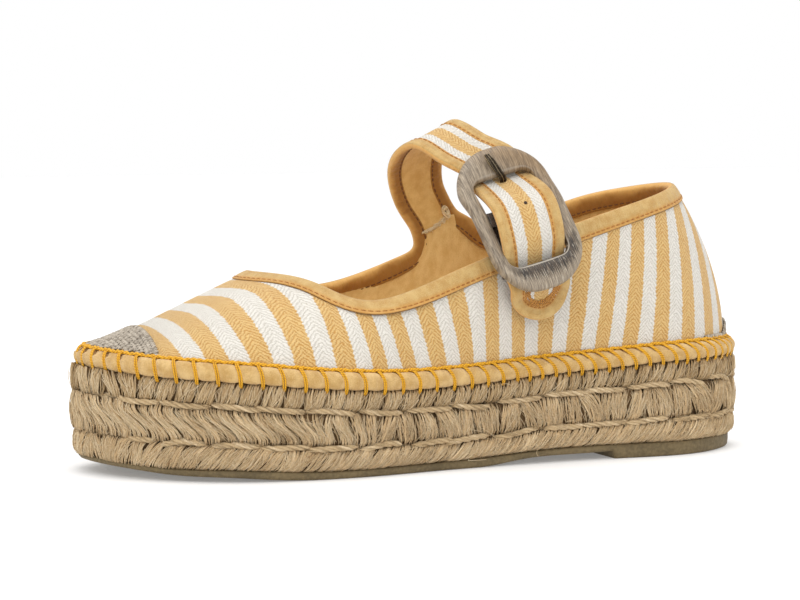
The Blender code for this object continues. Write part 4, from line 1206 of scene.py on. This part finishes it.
def horn_material():
    """Brushed horn: fine lines up the frame, warm above, grey beside, dark below, with a painted highlight along the
    opening's edge. Fields: side, up, share outward.
    """
    f = Finish("brushed_horn", 0.45, Coat_Weight=0.10, Coat_Roughness=0.3)
    side, up, outward_share = f.strand()
    lean = side + up * 0.06
    fine = f.noise(f.join(lean * 2.6, up * 0.12), 1.0, 5.0, 0.75)
    scratch = f.noise(f.join(lean * 3.4, up * 0.24, 7.0), 1.0, 3.0, 0.6)
    broad = f.noise(f.join(lean * 0.8, up * 0.10, 3.0), 1.0, 3.0, 0.6)
    share = fine * 0.55 + (broad * 0.20 + scratch * 0.25)
    warm = f.mix(share.spread(0.35, 0.63), (82, 62, 40), (150, 124, 90))
    grey = f.mix(share.spread(0.38, 0.62), (82, 69, 54), (170, 154, 132))
    dark = f.mix(share.spread(0.42, 0.62), (16, 11, 7), (84, 66, 46))
    colour = f.mix((up + side * 0.8).spread(12.0, 30.0), grey, warm)
    colour = f.mix(broad.spread(0.50, 0.62) * up.spread(6.0, -10.0) * 0.45, colour, (70, 58, 46))
    low = (up + side * -0.30).spread(-12.0, -19.0)
    inside = (outward_share + (fine - 0.5) * 1.3).spread(0.82, 0.40)
    colour = f.mix(low * 0.22, colour, (158, 144, 124))
    colour = f.mix(low * inside, colour, dark)
    colour = f.mix(scratch.spread(0.57, 0.64) * (low * 0.45 + 0.12), colour, (194, 184, 166))
    # Painted highlight: a thin light line along the opening's inner edge, stronger on the lower bar.
    edge = (outward_share - 0.09).math("ABSOLUTE").spread(0.05, 0.015)
    colour = f.mix(edge * up.spread(0.0, -14.0, 0.15, 0.6), colour, (204, 198, 186))
    return f.done(colour, fine * 0.10 + scratch * -0.06, share.spread(0.3, 0.7, 0.36, 0.56))


def metal_material():
    f = Finish("dark_bronze", 0.38, Metallic=0.85)
    _, _, seed = f.strand()
    scuff = f.noise(f.object_place(), 900.0, 3.0)
    # Partly painted light: the prong's ridges are painted light and its grooves left dark; the scuff share is wear.
    scuff_and_ridge_highlight = scuff.spread(0.5, 0.75) * 0.15 + seed.spread(0.72, 1.0) * 0.85
    return f.done(f.mix(scuff_and_ridge_highlight, (34, 26, 19), (214, 194, 156)), scuff * 0.05, scuff.spread(0.3, 0.7, 0.28, 0.5))


def as_worn(loop, reach):
    """An outline of the frame, turned a little in its plane and narrower by reach on the lower toe side."""
    side, up = loop.T
    side = side + reach * smooth(up, 16.0, 5.0) * smooth(up, -29.0, -20.0) * smooth(side, 0.0, -8.0)
    side = side - 0.7 * reach * smooth(up, 2.0, 14.0) * smooth(side, 0.0, 10.0)
    up = up + 0.6 * (reach - 0.9) * smooth(up, 12.0, 27.0) * (1 - smooth(side, 2.0, 14.0))
    turn = math.radians(FRAME_TURN)
    return np.stack([side * math.cos(turn) - up * math.sin(turn), side * math.sin(turn) + up * math.cos(turn)], axis=1)


def squarish(wave, power):
    """A sine or cosine with fuller shoulders."""
    return np.sign(wave) * np.abs(wave) ** power


def round_pin(thick, first, last, count, onward, steps):
    """Even line (up, out, side) of a strip that bends round the pin and goes on, and its normals in that plane."""
    radius = PIN_RADIUS + PIN_GAP + thick
    turn = np.radians(np.linspace(first, last, count))
    around = [(PIN_AT + radius * math.cos(t), radius * math.sin(t), 0.0) for t in turn]
    line = open_curve(around + list(onward), steps)
    run = unit(np.gradient(line[:, :2], axis=0))
    return line, np.stack([-run[:, 1], run[:, 0]], axis=1)


def buckle():
    horn = horn_material()
    metal = metal_material()
    # Painted shade: the webbing tab is coloured dark brown for the shade it sits in behind the strap.
    tab_cloth_in_shade = plain_cloth("dark_webbing", (78, 58, 42), (52, 38, 26), 1.6, 0.3)

    count, sides = 240, 28
    outer = as_worn(even_loop(BUCKLE_WIDE, BUCKLE_LONG, BUCKLE_CORNER, count), WORN_OUTSIDE)
    inner = even_loop(OPENING_WIDE, OPENING_LONG - OPENING_SHORTER, OPENING_CORNER, count)
    inner = as_worn(inner - np.array([0.0, OPENING_DOWN]), WORN_INSIDE)
    a = (np.arange(sides) * TAU / sides)[:, None]
    share = 0.5 + 0.5 * squarish(np.cos(a), FRAME_FULLNESS)
    side, up = np.moveaxis(inner + (outer - inner) * share[..., None], 2, 0)
    grid = in_buckle(side, up, BUCKLE_THICK / 2 * squarish(np.sin(a), FRAME_FULLNESS))
    strand = np.stack(np.broadcast_arrays(side, up, share), axis=-1)
    add_piece("horn_buckle", grid, [grid_faces(sides, count, True)[0]], horn, ["buckle_frame"], strand=strand)

    pin_half = OPENING_WIDE / 2 - PIN_GAP
    path = in_buckle(np.linspace(-pin_half, pin_half, 24), PIN_AT, 0.0)[None]
    tubes("centre_pin", [tube_mesh(path, FACE, PIN_RADIUS, 24)], metal, ["buckle_pin"])

    prong, normal = round_pin(PRONG_THICK / 2 + 0.1, 95.0, 30.0, 5, PRONG_REACH, 90)
    sides = 48
    ring = np.arange(sides) * TAU / sides
    ridge = np.where(np.sin(ring) > -0.1, 0.5 + 0.5 * np.cos(np.cos(ring) * 3.0 * TAU), 0.0)
    at = run_lengths(prong)[:, None]
    taper = 1.0 - 0.30 * smooth(at, at[-1] - 3.0, at[-1])
    high = PRONG_THICK / 2 * squarish(np.sin(ring), 0.6) * (0.78 + 0.30 * ridge)
    up, out = (prong[:, k, None] + normal[:, k, None] * high * taper for k in (0, 1))
    grid = in_buckle(prong[:, 2, None] + 0.5 * PRONG_WIDE * squarish(np.cos(ring), 0.8) * taper, up, out)
    strand = np.zeros(grid.shape)
    strand[..., 2] = ridge
    polygons = [grid_faces(len(prong), sides)[0], end_caps(sides, (len(prong) - 1) * sides)]
    add_piece("bronze_prong", grid, polygons, metal, ["buckle_prong"], strand=strand)

    tab, normal = round_pin(TAB_THICK / 2 + 0.15, 150.0, -150.0, 13, TAB_REACH, 70)
    gap = PRONG_WIDE / 2 + 0.7
    for name, low, high, stands_for in (("webbing_tab_toeward", -TAB_WIDE / 2 - TAB_TOEWARD, -gap, ["buckle_tab"]),
                                        ("webbing_tab_heelward", gap, TAB_WIDE / 2, ())):
        sides = np.linspace(low, high, 12)
        front, rear = (in_buckle(sides, *(tab[:, :2] + sign * normal * TAB_THICK / 2).T[..., None]) for sign in (1, -1))
        grid = np.concatenate([front, rear[:, ::-1]], axis=1)
        field = paired(np.concatenate([sides, sides[::-1], sides[:1]]), run_lengths(tab)[:, None])
        skin(name, grid, field, tab_cloth_in_shade, stands_for, capped=True)


# ---- guards ----
def guard_tops(name, places):
    """Share of the wall's height at which a guard ends."""
    grid = np.linspace(0.0, 0.6, 241)
    lines = np.stack([wall_points(places, g) for g in grid])
    if name == "toe":
        along = SOLE_LENGTH / 2 - lines[..., 0]
        above = along <= 232.9 + 0.002 * (lines[..., 1] - CENTRE_ACROSS) ** 2
    else:
        rows = stations(places)
        rise = 6.0 * np.maximum(0.15, 1.0 - (rows[:, 1] / 18.0) ** 2)
        above = lines[..., 2] > level(3, rows[:, 0]) + 0.4 + rise
    return grid[np.argmax(above, axis=0)]


def knit_guards():
    f = Finish("taupe_yarn", 0.9, Sheen_Weight=0.15)
    u, v, seed = f.strand()
    lines = f.noise(f.join(u * 1.0, v * 5.0, seed * 50.0), 1.0, 3.0)
    colour = f.mix((lines * 0.7 + seed * 0.3).spread(0.3, 0.62), (126, 115, 101), (186, 175, 159))
    yarn = f.done(colour, lines * 0.2)
    # Painted shade: the ground under the loops is dark for the shade between them.
    f = Finish("taupe_knit_gap_shade", 0.95)
    rough = f.noise(f.object_place(), 700.0, 3.0)
    knit_gap_shade = f.done(f.mix(rough, (66, 58, 48), (92, 82, 70)), rough * 0.2)
    for name, centre, span in GUARDS:
        places = np.linspace(centre - span, centre + span, 241)
        tops = guard_tops(name, places)
        places, tops = places[tops > 0.012], tops[tops > 0.012]
        rows = [wall_row(places, tops * s, 0.42) for s in np.linspace(1.0, 0.0, 12)]
        rows += [wall_row(places, tops * s, 0.1) for s in (0.0, 1.0)]
        grid = np.stack(rows, axis=1)
        flat = np.zeros((len(grid), len(rows) + 1, 2))
        skin(name + "_guard", grid, flat, knit_gap_shade, [name + "_patch"], capped=True)
        knit_yarn(name, places, tops, yarn)


def knit_yarn(name, places, tops, yarn):
    """Rows of small slanted loops, one V to a stitch, below the guard's upper edge."""
    paths = []
    normals = []
    fine = np.linspace(0.0, 1.0, 40)
    down = run_lengths(np.stack([wall_points(places, tops * (1 - t)) for t in fine], axis=1))
    q = np.linspace(0.0, 1.0, 6)
    for number, drop in enumerate(np.arange(0.5, 30.0, KNIT_ROW)):
        inside = down[:, -1] > drop + 0.2
        if inside.sum() < 8:
            continue
        shares = tops[inside] * (1 - np.array([np.interp(drop, line, fine) for line in down[inside]]))
        row = wall_row(places[inside], shares, 0.55)
        run = run_lengths(row)
        centres = (np.arange(int(run[-1] / KNIT_STITCH)) + 0.5 + 0.5 * (number % 2)) * KNIT_STITCH
        centres = centres[centres < run[-1] - 0.3]
        if not len(centres):
            continue
        spot = sample(centres, run, row)[:, None]
        face = unit(sample(centres, run, wall_normals(places[inside], shares)))[:, None]
        ahead = unit(sample(centres, run, np.gradient(row, axis=0)))[:, None]
        climb = np.cross(face, ahead)
        climb *= np.sign(climb[..., 2:] + 1e-9)
        for side in (-1, 1):
            shift = side * (0.80 - 0.66 * q)[:, None] * ahead
            rise = (0.85 - 1.75 * q)[:, None] * climb
            lift = (0.34 * np.sin(q * math.pi))[:, None] * face
            paths.append(spot + shift + rise + lift + DRAW.normal(0, 0.05, spot.shape))
            normals.append(face)
    thick = 0.41 * (0.5 + 0.5 * np.sin(np.clip(q, 0.08, 0.92) * math.pi))
    loops = tube_mesh(np.concatenate(paths), np.concatenate(normals), thick, 7)
    tubes(name + "_guard_knit", [loops], yarn)


# ---- stage ----
def stand(name, data, spot, view):
    """A light or camera at a spot, turned to a view direction."""
    thing = link(bpy.data.objects.new(name, data))
    thing.location = spot
    thing.rotation_mode = "QUATERNION"
    thing.rotation_quaternion = view.to_track_quat("-Z", "Y")
    return thing


def stage():
    mesh = bpy.data.meshes.new("floor")
    size = 3.0
    mesh.from_pydata([(-size, -size, 0), (size, -size, 0), (size, size, 0), (-size, size, 0)], [], [(0, 1, 2, 3)])
    # Painted light: the floor glows by FLOOR_GLOW, which lightens the shadows on it; it is no lamp.
    f = Finish("studio_floor", 0.8, Emission_Strength=FLOOR_GLOW, Emission_Color=(255, 255, 255))
    mesh.materials.append(f.done((227, 227, 227)))
    floor = link(bpy.data.objects.new("floor", mesh))
    world = bpy.data.worlds.new("studio")
    bpy.context.scene.world = world
    world.use_nodes = True
    colour, strength = world.node_tree.nodes["Background"].inputs[:2]
    colour.default_value, strength.default_value = (1.0, 1.0, 1.0, 1.0), 1.0
    for name, spot, wide, power in LIGHTS:
        light = bpy.data.lights.new(name, "AREA")
        light.size, light.energy = wide, power
        stand(name, light, spot, Vector((0, 0, 0.05)) - Vector(spot))
    data = bpy.data.cameras.new("camera")
    data.lens, data.sensor_width = LENS, SENSOR
    turn, rise = math.radians(AZIMUTH), math.radians(ELEVATION)
    back = Vector((math.sin(turn) * math.cos(rise), -math.cos(turn) * math.cos(rise), math.sin(rise)))
    camera = stand("camera", data, Vector(TARGET) + back * DISTANCE, -back)
    bpy.context.scene.camera = camera
    bpy.context.scene.view_settings.view_transform = "Standard"


outsole()
jute_rows()
cord_stitches("lower", 1)
cord_stitches("upper", 2)
stray_hairs()
foxing_band()
blanket_stitches()
upper_skins()
footbed()
ribbon("strap_canvas", -2.4, 0.0, 0.0, 0.98, CANVAS, "striped_canvas", ["strap"])
ribbon("strap_lining", 7.6, 3.2, -0.02, -1.02, STRAP_LINING, "lining")
strap_join()
strap_marks()
binding()
binding_stitches()
buckle()
knit_guards()
stage()
